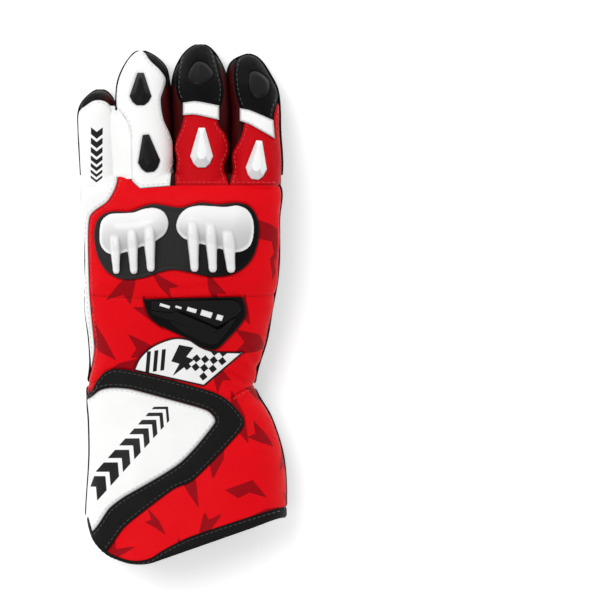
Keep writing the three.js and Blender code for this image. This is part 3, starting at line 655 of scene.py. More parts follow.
def grid_normals(grid):
    along = np.gradient(grid, axis=0)
    around = np.roll(grid, -1, axis=1) - np.roll(grid, 1, axis=1)
    normal = np.cross(along, around)
    size = np.linalg.norm(normal, axis=2, keepdims=True)
    return normal / np.maximum(size, 1e-9)


def section_at(rows, y):
    """Left, right, bottom and top of a tube at places along it."""
    return [np.interp(y, rows[:, 0], column) for column in rows.T[1:]]


def wall(rim, step):
    """Faces between a ring of points and its twin, whose numbers are a step higher."""
    return [(k, (k + 1) % rim, (k + 1) % rim + step, k + step) for k in range(rim)]


def mesh_object(name, points, faces):
    """A new object from points in millimetres of the drawing."""
    mesh = bpy.data.meshes.new(name)
    place = (np.asarray(points, float).reshape(-1, 3) + SHIFT) * MM
    mesh.from_pydata(place.tolist(), [], faces)
    mesh.update()
    piece = bpy.data.objects.new(name, mesh)
    bpy.context.scene.collection.objects.link(piece)
    return piece


def closed_tube(name, grid):
    """A closed solid through a grid of rings, fanned shut at both ends."""
    rings, sides = grid.shape[:2]
    index = np.arange(rings * sides).reshape(rings, sides)
    turned = np.roll(index, -1, axis=1)
    quads = np.stack([index[:-1], index[1:], turned[1:], turned[:-1]], axis=-1).reshape(-1, 4)
    low, high = rings * sides, rings * sides + 1
    faces = quads.tolist()
    faces += [(low, int(a), int(b)) for a, b in zip(index[0], turned[0])]
    faces += [(high, int(b), int(a)) for a, b in zip(index[-1], turned[-1])]
    points = np.vstack([grid.reshape(-1, 3), grid[0].mean(0), grid[-1].mean(0)])
    return mesh_object(name, points, faces)


def extruded(outline, low, high, axis):
    """A solid that an outline sweeps along an axis, from low to high."""
    points = anticlockwise(outline)
    count = len(points)
    ends = [np.insert(points, axis, level, axis=1) for level in (low, high)]
    faces = [tuple(range(count - 1, -1, -1)), tuple(range(count, 2 * count))]
    return mesh_object("cutter", np.vstack(ends), faces + wall(count, count))


def prism(outline, low=-REACH, high=REACH):
    """A solid above and below an outline of the plan."""
    return extruded(outline, low, high, 2)


def above_seam(seam, lift=0):
    """Everything above a side seam that is drawn as (y, z)."""
    outline = [(y, z + lift) for y, z in seam] + [(seam[-1][0], REACH), (seam[0][0], REACH)]
    return extruded(outline, -REACH, REACH, 0)


def block(x=(-REACH, REACH), y=(-REACH, REACH), z=(-REACH, REACH)):
    return prism([(x[0], y[0]), (x[1], y[0]), (x[1], y[1]), (x[0], y[1])], *z)


def beyond(line, lift=0):
    """Everything on the fingers' side of a line that runs across the cuff from right to left."""
    points = line + (0, lift)
    corners = [(-REACH, points[-1, 1]), (-REACH, REACH), (REACH, REACH), (REACH, points[0, 1])]
    return prism(np.vstack([points, corners]))


def short_of(line, lift=0):
    """Everything on the hem's side of a line that runs across the glove from left to right."""
    return prism(np.vstack([line + (0, lift), [(REACH, -REACH), (-REACH, -REACH)]]))


def remove(*solids):
    for solid in solids:
        mesh = solid.data
        bpy.data.objects.remove(solid)
        bpy.data.meshes.remove(mesh)


def make_active(piece):
    bpy.ops.object.select_all(action="DESELECT")
    piece.select_set(True)
    bpy.context.view_layer.objects.active = piece


def apply_modifier(piece, kind, **values):
    """Adds a modifier with its values set, and applies it."""
    make_active(piece)
    modifier = piece.modifiers.new(kind.capitalize(), kind)
    for key, value in values.items():
        setattr(modifier, key, value)
    bpy.ops.object.modifier_apply(modifier=modifier.name)


def combined(piece, other, operation="INTERSECT"):
    """Trims, joins or cuts a piece with another solid, which is used up."""
    apply_modifier(piece, "BOOLEAN", solver="MANIFOLD", operation=operation, object=other)
    remove(other)
    return piece


@contextmanager
def edit_mode():
    bpy.ops.object.mode_set(mode="EDIT")
    yield
    bpy.ops.object.mode_set(mode="OBJECT")


def face_outwards(piece, weld=None):
    """Turns a mesh's faces outwards, with its double points welded first where that is asked."""
    make_active(piece)
    with edit_mode():
        bpy.ops.mesh.select_all(action="SELECT")
        if weld:
            bpy.ops.mesh.remove_doubles(threshold=weld)
        bpy.ops.mesh.normals_make_consistent(inside=False)
    return piece


def copy_of(piece, name):
    twin = bpy.data.objects.new(name, piece.data.copy())
    twin.data.name = name
    bpy.context.scene.collection.objects.link(twin)
    return twin


def vectors(items, key):
    """One vector for each point or face of a mesh."""
    flat = np.empty(len(items) * 3)
    items.foreach_get(key, flat)
    return flat.reshape(-1, 3)


def points_of(mesh):
    """A mesh's points in millimetres of the drawing."""
    return vectors(mesh.vertices, "co") / MM - SHIFT


def middles_of(mesh):
    """The middles of a mesh's faces in millimetres of the drawing."""
    return vectors(mesh.polygons, "center") / MM - SHIFT


def put_points(mesh, points):
    mesh.vertices.foreach_set("co", ((points + SHIFT) * MM).astype(np.float32).ravel())
    mesh.update()


def keep_main_body(piece):
    """Drops the slivers that a cut leaves: only the body with the most points stays."""
    mesh = piece.data
    count = len(mesh.vertices)
    edges = np.empty(len(mesh.edges) * 2, int)
    mesh.edges.foreach_get("vertices", edges)
    a, b = edges.reshape(-1, 2).T
    label = np.arange(count)
    while True:
        before = label.copy()
        lower = np.minimum(label[a], label[b])
        np.minimum.at(label, a, lower)
        np.minimum.at(label, b, lower)
        label = label[label]
        if (label == before).all():
            break
    main = np.bincount(label).argmax()
    if (label == main).all():
        return piece
    work = bmesh.new()
    work.from_mesh(mesh)
    work.verts.ensure_lookup_table()
    slivers = [work.verts[k] for k in np.flatnonzero(label != main)]
    bmesh.ops.delete(work, geom=slivers, context="VERTS")
    work.to_mesh(mesh)
    work.free()
    return piece


def set_field(piece, name, values):
    """Stores one number for each point, for the materials to read."""
    fields = piece.data.attributes
    field = fields.get(name) or fields.new(name, "FLOAT", "POINT")
    field.data.foreach_set("value", np.asarray(values, np.float32))


def finish_piece(piece, material, slot, *nodes, smooth=40):
    """Gives a piece its material and its place in the frame."""
    make_active(piece)
    bpy.ops.object.shade_smooth_by_angle(angle=math.radians(smooth))
    piece.data.materials.clear()
    piece.data.materials.append(material_named(material))
    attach(piece, "root")
    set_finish(piece, slot)
    if nodes:
        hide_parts(*nodes)
    return piece


# Smooth lines and outlines that both the leather's relief and the cutters use. An outline comes with
# the least bend, in degrees, that stays sharp, and with its step.
LINES = {
    "hem": curved(HEM_LINE),
    "binding": curved(BINDING_LINE),
    "wrist": curved(WRIST_LINE),
    "front": curved(HAND_FRONT_LINE, corner=75),
    "front_seam": curved(HAND_FRONT_LINE[1:], corner=75),
}
OUTLINES = [
    ("little_back", LITTLE_BACK, 50, 1.4),
    ("ring_back", RING_BACK, 50, 1.4),
    ("middle_back", MIDDLE_BACK, 45, 1.4),
    ("index_back", INDEX_BACK, 45, 1.4),
    ("middle_cap", MIDDLE_CAP, 45, 1.4),
    ("index_cap", INDEX_CAP, 45, 1.4),
    ("flap_border", FLAP_BORDER, 60, 1.4),
    ("flap_panel", FLAP_PANEL, 75, 1.4),
    ("middle_band", MIDDLE_BAND, 40, 1.4),
    ("index_band", INDEX_BAND, 40, 1.4),
    ("badge", WRIST_BADGE, 45, 1.4),
    ("knuckle_base", KNUCKLE_BASE, 60, 0.9),
    ("outer_shell", OUTER_SHELL, 60, 0.6),
    ("inner_shell", INNER_SHELL, 60, 0.6),
    ("plate", WRIST_PLATE, 40, 0.6),
    ("cap", WRIST_PLATE_CAP, 30, 0.6),
    ("step", PLATE_STEP, 25, 0.6),
]
LINES.update({
    name: curved(points, closed=True, corner=corner, step=step)
    for name, points, corner, step in OUTLINES})
LINES["wrist_under"] = np.array([(-62, WRIST_SEAM_UNDER_Y), (62, WRIST_SEAM_UNDER_Y)], float)
LINES["root_under"] = np.array([(-66, FINGER_ROOT_Y), (66, FINGER_ROOT_Y)], float)
OPEN_LINES = ("hem", "binding", "wrist", "front_seam", "wrist_under", "root_under")
SOFT_LINES = {"front_seam": 0.9, "wrist": 0.35}
PLATE_SEAM_LEFT = [(-58, 168), (-40, 166.5), (-22, 165.5)]
PLATE_SEAM_RIGHT = [(37, 166.5), (50, 167.5), (62, 169)]
Seam = namedtuple("Seam", "line closed ease under", defaults=[False])
Crease = namedtuple("Crease", "line depth width under", defaults=[False])


def named_seams(*names):
    """Seams by name; a seam with more ease makes a shallower groove."""
    return [Seam(LINES[name], name not in OPEN_LINES, SOFT_LINES.get(name, 0)) for name in names]


HAND_SEAMS = named_seams("wrist", "front_seam", "little_back") + [
    Seam(np.array(PLATE_SEAM_LEFT, float), False, 0.3),
    Seam(np.array(PLATE_SEAM_RIGHT, float), False, 0.3),
]
UNDER_SEAMS = [
    Seam(np.array([(-80, y), (80, y)], float), False, 0.2, True)
    for y in (WRIST_SEAM_UNDER_Y, FINGER_ROOT_Y)
]
HAND_COVERS = ["flap_border", "badge", "plate", "knuckle_base"]


def side_height(seam, y):
    return np.interp(y, [p[0] for p in seam], [p[1] for p in seam])


def seam_distance(points, normals, seams, side):
    """Distance along the leather from each point to its nearest seam."""
    x, y, z = points.T
    upper = z > side_height(side, y) - 0.4
    nearest = np.full(len(points), 22.0)
    for seam in seams:
        distance, across, _ = line_distance(x, y, seam.line, seam.closed)
        tilt = (normals[:, :2] * across).sum(1)
        distance = distance / np.sqrt(np.maximum(1 - tilt**2, 0.06)) + seam.ease
        here = upper != seam.under
        nearest = np.where(here, np.minimum(nearest, distance), nearest)
    fall = np.abs(z - side_height(side, y)) / np.sqrt(np.maximum(1 - normals[:, 2] ** 2, 0.06))
    return np.minimum(nearest, fall)


def leather_relief(grid, seams, side, covers, seed, creases=()):
    """Heights over a plain tube that make it sewn, padded leather."""
    sizes = bpy.context.scene.glove_leather
    points = grid.reshape(-1, 3)
    normals = grid_normals(grid).reshape(-1, 3)
    nearest = seam_distance(points, normals, seams, side)
    groove = bell(nearest, sizes.groove_width)
    swell = 1 - bell(nearest, sizes.puff_reach)
    relief = sizes.puff * swell - sizes.groove * groove
    relief += sizes.undulation * (0.35 + swell) * waves(points, 26, seed)
    x, y, z = points.T
    upper = z > side_height(side, y)
    for fold in creases:
        distance, _, place = line_distance(x, y, fold.line, reach=12)
        total = np.linalg.norm(np.diff(fold.line, axis=0), axis=1).sum()
        fade = np.sin(np.clip(place / total, 0, 1) * math.pi) ** 0.7
        furrow = bell(distance, fold.width) - 0.45 * bell(distance / fold.width - 2.1, 1)
        relief -= np.where(upper != fold.under, fold.depth * fade * furrow, 0)
    for outline in covers:
        cover = smooth_step(depth_inside(x, y, outline, 8), -1.2, 0.9) * upper
        relief = relief * (1 - cover) + PRESSED * cover
    raised = points + normals * relief[:, None]
    raised[:, 2] = np.maximum(raised[:, 2], 0)
    return raised.reshape(grid.shape)


def crease(*points):
    return curved(points, step=2)


WRIST_CREASES = [
    Crease(crease((50, 104), (38, 101), (24, 96), (10, 93)), 1.1, 2.0),
    Crease(crease((50, 111), (40, 113), (28, 119), (18, 122)), 0.9, 1.8),
    Crease(crease((54, 95), (47, 88), (44, 78)), 0.8, 2.2),
    Crease(crease((52, 118), (46, 124), (40, 134)), 0.8, 2.0),
    Crease(crease((-20, 175), (0, 172), (24, 174), (44, 171)), 0.35, 2.2),
]
PALM_CREASES = [
    Crease(crease((-56, 204), (-34, 212), (-8, 211), (22, 216), (50, 222)), 1.2, 2.2, True),
    Crease(crease((-52, 186), (-26, 182), (0, 190), (20, 204)), 1.0, 2.0, True),
    Crease(crease((-50, 150), (-22, 156), (2, 150)), 0.9, 2.2, True),
    Crease(crease((-52, 122), (-20, 126), (14, 121), (40, 124)), 1.2, 2.2, True),
    Crease(crease((-54, 98), (-16, 94), (22, 99), (50, 96)), 1.0, 2.4, True),
]
FINGER_CREASES = [
    Crease(crease((left, y), (right, y + 1)), 0.8, 1.5, True)
    for left, right in ((-66, -38), (-43, -2), (-8, 33), (27, 64)) for y in (259, 280)
]


def thumb_hollow(pitch):
    rows = widened(smooth_rows(THUMB, pitch), -WALL)
    tube = tube_points(rows, round(THUMB_HOLLOW_GIRTH / pitch))
    tube[..., 2] = np.maximum(tube[..., 2], WALL)
    return closed_tube("hollow", tube)


class Leather:
    """The glove's leather as solids, made once and cut into its panels."""

    solids = {}

    @classmethod
    def outer(cls):
        """The whole outside but the thumb, sewn and padded."""
        pitch = bpy.context.scene.glove_leather.pitch
        if "outer" in cls.solids:
            return cls.solids["outer"]
        hand = tube_points(smooth_rows(HAND, pitch), round(HAND_GIRTH / pitch))
        covers = [LINES[name] for name in HAND_COVERS]
        seams = HAND_SEAMS + UNDER_SEAMS
        hand = leather_relief(hand, seams, HAND_SIDE_SEAM, covers, 3, WRIST_CREASES + PALM_CREASES)
        whole = closed_tube("outer", hand)
        for seed, finger in enumerate(FINGERS, 11):
            rows = tucked(smooth_rows(finger.sections, pitch), ROOT_TUCK, 7)
            grid = tube_points(rows, round(FINGER_GIRTH / pitch))
            covers = [LINES[name] for name in finger.bands]
            covers += [placed(DROP_OUTLINE, drop) for drop in DROPS if drop.on is finger.sections]
            covers += [placed(TIP_PAD_OUTLINE, pad) for pad in TIP_PADS if pad.on is finger.sections]
            seams = named_seams(*finger.seams) + UNDER_SEAMS
            grid = leather_relief(grid, seams, finger.side, covers, seed, FINGER_CREASES)
            combined(whole, closed_tube("finger", grid), "UNION")
        cls.solids["outer"] = whole
        return whole

    @classmethod
    def skin(cls):
        """The outside less its hollow, trimmed at the hem."""
        if "skin" in cls.solids:
            return cls.solids["skin"]
        coarse = bpy.context.scene.glove_leather.pitch * HOLLOW_COARSENESS
        rows = widened(smooth_rows(HAND, coarse), -WALL, 10)
        hollow = closed_tube("hollow", tube_points(rows, round(HAND_HOLLOW_GIRTH / coarse)))
        for finger in FINGERS:
            rows = tucked(widened(smooth_rows(finger.sections, coarse), -WALL), ROOT_TUCK, 14)
            tube = tube_points(rows, round(FINGER_HOLLOW_GIRTH / coarse))
            combined(hollow, closed_tube("hollow", tube), "UNION")
        combined(hollow, block(z=(WALL, REACH)))
        skin = copy_of(cls.outer(), "skin")
        combined(skin, hollow, "DIFFERENCE")
        combined(skin, thumb_hollow(coarse), "DIFFERENCE")
        combined(skin, beyond(LINES["hem"]))
        cls.solids["skin"] = skin
        return skin

    @classmethod
    def done(cls):
        remove(*cls.solids.values())
        cls.solids.clear()


def turned(points, origin, angle):
    """Plan points turned by an angle in degrees and moved to an origin."""
    cos, sin = math.cos(math.radians(angle)), math.sin(math.radians(angle))
    return np.array(points, float) @ np.array([(cos, sin), (-sin, cos)]) + origin


def placed(outline, drop):
    """An outline drawn in a box one unit across, put in its place."""
    return turned(np.array(outline) * (drop.width, drop.length), (drop.x, drop.y), drop.turn)


def top_height(rows, x, y):
    """Height of a tube's upper face over points of the plan."""
    left, right, bottom, top = section_at(rows, y)
    across = np.abs((2 * x - left - right) / np.maximum(right - left, 1e-6))
    rise = np.maximum(0, 1 - np.minimum(across, 1) ** ROUNDNESS) ** (1 / ROUNDNESS)
    return (bottom + top) / 2 + (top - bottom) / 2 * rise


def depth_in_tube(sections, points):
    """Roughly how deep points lie in a tube, negative outside it."""
    rows = np.array(sections, float)
    x, y, z = points.T
    left, right, bottom, top = section_at(rows, y)
    wide, tall = (right - left) / 2, (top - bottom) / 2
    u, v = np.abs(x - (left + right) / 2) / wide, np.abs(z - (bottom + top) / 2) / tall
    size = np.maximum((u**ROUNDNESS + v**ROUNDNESS) ** (1 / ROUNDNESS), 1e-6)
    slope = np.hypot((u / size) ** (ROUNDNESS - 1) / wide, (v / size) ** (ROUNDNESS - 1) / tall)
    depth = (1 - size) / slope
    return np.where((y < rows[0, 0] + HIDDEN_ROOT) | (y > rows[-1, 0]), -9, depth)


def plan(points):
    return points[:, 0], points[:, 1]


def laid_flat(points):
    """Plan of the hand's leather laid flat: below its shoulder, height counts as width."""
    x, y, z = points.T
    _, _, bottom, top = section_at(np.array(HAND, float), y)
    shoulder = bottom + SHOULDER * (top - bottom)
    return x + np.sign(x) * np.maximum(0, shoulder - z), y


def shards():
    """Splinters scattered over the red leather: seeded, each a few points of the plan."""
    chance = np.random.default_rng(71)
    shapes = [
        [(0.55, 0.02), (0.02, 0.3), (-0.5, 0.5), (-0.2, 0.02), (-0.34, -0.34), (0.1, -0.2)],
        [(0.5, -0.28), (0.24, 0.2), (-0.1, 0.16), (-0.5, 0.6), (-0.3, -0.24)],
        [(0.62, 0.3), (0.04, 0.34), (-0.55, 0.04), (-0.1, -0.08), (-0.16, -0.55), (0.2, -0.1)],
        [(0.5, 0.08), (-0.02, 0.26), (-0.52, 0.2), (-0.24, -0.06), (-0.4, -0.5), (0.06, -0.2)],
    ]
    found = []
    middles = []
    for _ in range(3000):
        middle = chance.uniform((-80, 4), (84, 222))
        room = min((math.dist(middle, other) for other in middles), default=99)
        if room < 20.5 or (middle[1] > 178 and middle[0] < 50):
            continue
        length = chance.uniform(17, 31)
        width = length * chance.uniform(0.5, 0.8)
        shape = np.array(shapes[int(chance.integers(len(shapes)))]) * (length, width)
        found.append(turned(shape, middle, chance.uniform(0, 360)))
        middles.append(middle)
    return found


def chevrons(origin, turn, marks, height, lean):
    """Outlines of chevrons in a row: each is given by its start and the width of its stroke."""
    half = height / 2
    return [
        turned([
            (start, -half), (start + stroke, -half), (start + stroke + lean, 0),
            (start + stroke, half), (start, half), (start + lean, 0)], origin, turn)
        for start, stroke in marks]


FLAP_MARKS = chevrons(
    (-57.5, 44), 48,
    [(0, 9), (12.6, 8), (24.2, 7), (34.8, 6), (44.2, 5), (52.4, 4), (59.4, 3), (65.2, 2.2)], 13, 6)
LITTLE_MARKS = chevrons(
    (-53, 273), -90,
    [(0, 4.4), (6.4, 4), (12.3, 3.5), (17.6, 3), (22.3, 2.5), (26.5, 2), (30.2, 1.6)], 7.4, 3)
BOLT = [(-2.3, 9.2), (6.9, 9.7), (3.9, 3), (9.2, 2.5), (-1.6, -10.8), (0.7, -2.3), (-4.6, -2.1)]
SQUARE = [(0, 0), (1, 0), (1, 1), (0, 1)]
CHEQUER = 3.8
CHEQUERS = [
    (0, 0), (2, 0), (4, 0), (1, 1), (3, 1), (5, 1), (0, 2), (2, 2), (4, 2), (-1, 3), (1, 3),
]
BADGE_MARKS = [
    turned([(x, -6.5), (x + 2.5, -6.5), (x + 5.5, 6.5), (x + 3, 6.5)], (-19, 126.6), 8)
    for x in (-4.6, 0.1, 4.8)
]
BADGE_MARKS.append(turned(BOLT, (-1.5, 127.6), -14))
BADGE_MARKS += [
    turned((np.array(SQUARE) + cell) * CHEQUER, (13.3, 114.6), 39) for cell in CHEQUERS]


def refine_along(piece, outlines, reach=0.8, lay=plan):
    """Splits the faces along the edges of small marks, so that the print stays crisp."""
    mesh = piece.data
    make_active(piece)
    x, y = lay(middles_of(mesh))
    near = np.zeros(len(x), bool)
    for outline in outlines:
        near |= line_distance(x, y, outline, closed=True, reach=4)[0] < reach
    bpy.context.tool_settings.mesh_select_mode = (False, False, True)
    with edit_mode():
        bpy.ops.mesh.select_all(action="DESELECT")
    mesh.polygons.foreach_set("select", near)
    with edit_mode():
        bpy.ops.mesh.subdivide(number_cuts=1)
    bpy.context.tool_settings.mesh_select_mode = (True, False, False)


def print_field(piece, outlines, rim=None, reach=9, lay=plan):
    """How deep points lie inside printed shapes or outside a rim, negative elsewhere."""
    x, y = lay(points_of(piece.data))
    ink = np.full(len(x), float(-reach))
    for outline in outlines:
        ink = np.maximum(ink, depth_inside(x, y, outline, reach))
    if rim is not None:
        ink = np.maximum(ink, -depth_inside(x, y, rim, reach))
    set_field(piece, "print", ink)


def leather_fields(piece, seams, side):
    """Fields that the leather materials read: distance to a seam, and lining."""
    points = points_of(piece.data)
    normals = vectors(piece.data.vertices, "normal")
    set_field(piece, "seam", seam_distance(points, normals, seams, side))
    tubes = [HAND] + [finger.sections for finger in FINGERS]
    depth = np.max([depth_in_tube(sections, points) for sections in tubes], axis=0)
    set_field(piece, "lining", depth > LINING_DEPTH)


FINGER_GAPS = [
    [(-40, 236), (-41, 262), (-41.5, 292)],
    [(-4, 236), (-5, 262), (-7, 292)],
    [(29.6, 236), (30, 262), (30.4, 306)],
]


def blush_field(piece):
    """How near points are to the gaps between fingers, where the leather is dark red."""
    x, y, _ = points_of(piece.data).T
    glow = np.zeros(len(x))
    for gap in FINGER_GAPS:
        distance = line_distance(x, y, curved(gap), reach=14)[0]
        glow = np.maximum(glow, 1 - smooth_step(distance, 5.5, 9))
    facing = smooth_step(vectors(piece.data.vertices, "normal")[:, 2], -0.45, -0.1)
    set_field(piece, "blush", glow * facing * smooth_step(y, 233, 240))


def leather_panel(source, node, material, slot, cutters, seams, side, marks=()):
    """One leather panel, cut from a sewn solid; the mesh is finer along its marks."""
    piece = copy_of(source, node + "_leather")
    for cutter in cutters:
        combined(piece, cutter)
    keep_main_body(piece)
    if marks:
        refine_along(piece, marks)
        print_field(piece, marks)
    leather_fields(piece, seams, side)
    return finish_piece(piece, material, slot, node)


# Materials.

def group(name, number, default, outputs):
    """An empty shader node group that takes a vector and a number and gives numbers."""
    tree = bpy.data.node_groups.new(name, "ShaderNodeTree")
    tree.interface.new_socket("Vector", in_out="INPUT", socket_type="NodeSocketVector")
    socket = tree.interface.new_socket(number, in_out="INPUT", socket_type="NodeSocketFloat")
    socket.default_value = default
    for label in outputs:
        tree.interface.new_socket(label, in_out="OUTPUT", socket_type="NodeSocketFloat")
    source = tree.nodes.new("NodeGroupInput")
    target = tree.nodes.new("NodeGroupOutput")
    return tree, source, target


class Nodes:
    """Short calls for adding and linking shader nodes."""

    def __init__(self, tree):
        self.tree = tree

    def add(self, kind, **values):
        node = self.tree.nodes.new(kind)
        for key, value in values.items():
            setattr(node, key, value)
        return node

    def link(self, source, target):
        self.tree.links.new(source, target)

    def feed(self, socket, value):
        if isinstance(value, bpy.types.NodeSocket):
            self.link(value, socket)
        else:
            socket.default_value = value

    def math(self, operation, *values, clamp=False):
        node = self.add("ShaderNodeMath", operation=operation, use_clamp=clamp)
        for socket, value in zip(node.inputs, values):
            self.feed(socket, value)
        return node.outputs[0]

    def plus(self, total, value, factor, clamp=False):
        """A value times a factor, added to a total."""
        return self.math("ADD", total, self.math("MULTIPLY", value, factor), clamp=clamp)

    def ramp(self, value, low, high, start=0.0, end=1.0):
        node = self.add("ShaderNodeMapRange", interpolation_type="SMOOTHSTEP")
        for socket, given in zip(node.inputs, (value, low, high, start, end)):
            self.feed(socket, given)
        return node.outputs[0]

    def mix(self, factor, first, second, blend="MIX"):
        node = self.add("ShaderNodeMix", data_type="RGBA", blend_type=blend)
        self.feed(node.inputs[0], factor)
        self.feed(node.inputs[6], first)
        self.feed(node.inputs[7], second)
        return node.outputs[2]

    def noise(self, vector, scale, detail=2.0, roughness=0.5, distortion=0.0):
        node = self.add("ShaderNodeTexNoise")
        values = {
            "Vector": vector, "Scale": scale, "Detail": detail, "Roughness": roughness,
            "Distortion": distortion}
        for label, value in values.items():
            self.feed(node.inputs[label], value)
        return node.outputs[0]

    def cells(self, vector, scale, feature="F1", smoothness=None):
        node = self.add("ShaderNodeTexVoronoi", feature=feature)
        self.feed(node.inputs["Vector"], vector)
        node.inputs["Scale"].default_value = scale
        if smoothness is not None:
            node.inputs["Smoothness"].default_value = smoothness
        return node.outputs["Distance"]

    def field(self, name):
        return self.add("ShaderNodeAttribute", attribute_name=name).outputs["Fac"]


def colour(value):
    return (value[0], value[1], value[2], 1.0)


def grey(value):
    return (value, value, value, 1.0)


def leather_grain_group():
    """Pebbled leather: its height, how worn a spot is, and the painted shade near a seam."""
    tree, source, target = group(
        "Leather grain", "Seam", FAR_FROM_SEAM, ("Height", "Tone", "Crease"))
    n = Nodes(tree)
    place = source.outputs["Vector"]
    pebble = n.cells(place, 1050, "SMOOTH_F1", 0.35)
    fine = n.cells(place, 2300, "SMOOTH_F1", 0.3)
    broad = n.noise(place, 90, 3, 0.55, 0.4)
    veins = n.noise(place, 260, 4, 0.6, 1.2)
    ridge = n.math("ABSOLUTE", n.math("SUBTRACT", veins, 0.5))
    vein = n.ramp(ridge, 0.0, 0.035, 1.0, 0.0)
    height = n.plus(n.math("MULTIPLY", pebble, -0.7), fine, -0.35)
    height = n.plus(height, vein, -0.16)
    height = n.plus(height, broad, 0.8)
    pull = n.ramp(source.outputs["Seam"], 0.5, 3.5, 1.0, 0.0)
    gather = n.noise(place, 420, 1)
    height = n.plus(height, n.math("MULTIPLY", pull, gather), 0.9)
    n.link(height, target.inputs["Height"])
    n.link(n.ramp(broad, 0.3, 0.7), target.inputs["Tone"])
    # Crease is painted shade: 1 within 0.15 mm of a seam, fading out by 1.5 mm.
    n.link(n.ramp(source.outputs["Seam"], 0.15, 1.5, 1.0, 0.0), target.inputs["Crease"])
    return tree


def scuff_group():
    """Fine scuffs and dull patches on moulded plastic and rubber."""
    tree, source, target = group("Moulding scuff", "Scale", 1.0, ("Height", "Dull"))
    n = Nodes(tree)
    scaled_place = n.add("ShaderNodeVectorMath", operation="SCALE")
    n.link(source.outputs["Vector"], scaled_place.inputs[0])
    n.link(source.outputs["Scale"], scaled_place.inputs["Scale"])
    place = scaled_place.outputs[0]
    speck = n.noise(place, 2600, 2, 0.6)
    cloud = n.noise(place, 70, 3, 0.6, 0.5)
    stretched = n.add("ShaderNodeMapping")
    n.link(place, stretched.inputs["Vector"])
    stretched.inputs["Scale"].default_value = (1, 9, 1)
    stretched.inputs["Rotation"].default_value = (0, 0, 0.6)
    scratch = n.ramp(n.noise(stretched.outputs[0], 140, 3, 0.7), 0.66, 0.72)
    n.link(n.plus(speck, scratch, -0.8), target.inputs["Height"])
    n.link(n.plus(n.math("MULTIPLY", cloud, 0.6), scratch, 0.5), target.inputs["Dull"])
    return tree


def new_material(name, tint, roughness, **sockets):
    """A principled material, with its nodes ready for more."""
    material = bpy.data.materials.new(name)
    material.use_nodes = True
    material.diffuse_color = colour(tint)
    shader = material.node_tree.nodes["Principled BSDF"]
    shader.inputs["Base Color"].default_value = colour(tint)
    shader.inputs["Roughness"].default_value = roughness
    for label, value in sockets.items():
        shader.inputs[label.replace("_", " ")].default_value = value
    n = Nodes(material.node_tree)
    place = n.add("ShaderNodeTexCoord").outputs["Object"]
    return material, shader, n, place


def add_bump(n, shader, height, distance, strength=1.0):
    bump = n.add("ShaderNodeBump")
    bump.inputs["Strength"].default_value = strength
    bump.inputs["Distance"].default_value = distance
    n.link(height, bump.inputs["Height"])
    n.link(bump.outputs[0], shader.inputs["Normal"])


def use_group(n, name, **inputs):
    node = n.add("ShaderNodeGroup")
    node.node_tree = bpy.data.node_groups.get(name) or GROUP_MAKERS[name]()
    for label, value in inputs.items():
        n.feed(node.inputs[label], value)
    return node.outputs


GROUP_MAKERS = {"Leather grain": leather_grain_group, "Moulding scuff": scuff_group}


def glove_colour(name):
    return colour(getattr(bpy.context.scene.glove_colours, name))


def leather_material(name, base, roughness=0.5, ink=None, blush=None, depth=0.00016, painted_seam_shade=0.0,
                     specular=0.06):
    """Grained leather with a textile lining and painted shade along its seams; it may be printed, or turn
    another colour at its blush.
    """
    tint = glove_colour(base)
    material, shader, n, place = new_material(name, tint, roughness, Specular_IOR_Level=specular)
    grain = use_group(n, "Leather grain", Vector=place, Seam=n.field("seam"))
    shade = tint
    if ink:
        shade = n.mix(n.ramp(n.field("print"), -0.12, 0.12), shade, glove_colour(ink))
    shade = n.mix(n.math("MULTIPLY", grain["Tone"], 0.06), shade, grey(0.6), "MULTIPLY")
    # Painted shade along the seams: near a seam the leather is darkened towards a quarter of its colour.
    shade = n.mix(n.math("MULTIPLY", grain["Crease"], painted_seam_shade), shade, grey(0.25), "MULTIPLY")
    inner = n.field("lining")
    shade = n.mix(inner, shade, n.mix(n.ramp(n.cells(place, 1500), 0.1, 0.6), grey(0.008), grey(0.016)))
    if blush:
        outside = n.math("MULTIPLY", n.field("blush"), n.math("SUBTRACT", 1.0, inner))
        shade = n.mix(outside, shade, glove_colour(blush))
    n.link(shade, shader.inputs["Base Color"])
    rough = n.plus(roughness - 0.06, grain["Tone"], 0.14)
    n.link(n.plus(rough, inner, 0.35, clamp=True), shader.inputs["Roughness"])
    add_bump(n, shader, grain["Height"], depth)
    return material


def moulded_material(name, base, second, roughness, bump=0.00002, dull=0.2, **sockets):
    """Moulded plastic or rubber, which turns to a second tint where the tone field rises: painted shade,
    on the pieces that set that field.
    """
    tint = glove_colour(base)
    material, shader, n, place = new_material(name, tint, roughness, **sockets)
    scuff = use_group(n, "Moulding scuff", Vector=place)
    n.link(n.plus(roughness - dull * 0.3, scuff["Dull"], dull), shader.inputs["Roughness"])
    shade = n.mix(n.field("tone"), tint, colour(second))
    shade = n.mix(n.math("MULTIPLY", scuff["Dull"], 0.2), shade, grey(0.7), "MULTIPLY")
    n.link(shade, shader.inputs["Base Color"])
    add_bump(n, shader, scuff["Height"], bump)
    return material


# White leather takes the strongest painted seam shade, a dark line along its seams.
WHITE_LEATHER = {"base": "white", "depth": 0.0001, "painted_seam_shade": 0.6, "specular": 0.22}
LEATHERS = {
    "Red leather": {"base": "red", "ink": "dark_red", "painted_seam_shade": 0.35},
    "White leather": WHITE_LEATHER,
    "Marked leather": {"ink": "marks", **WHITE_LEATHER},
    "Black leather": {"base": "black", "blush": "fourchette"},
    "Cuff border": {"base": "border", "roughness": 0.55},
    "Piping leather": {"base": "black", "roughness": 0.45},
}
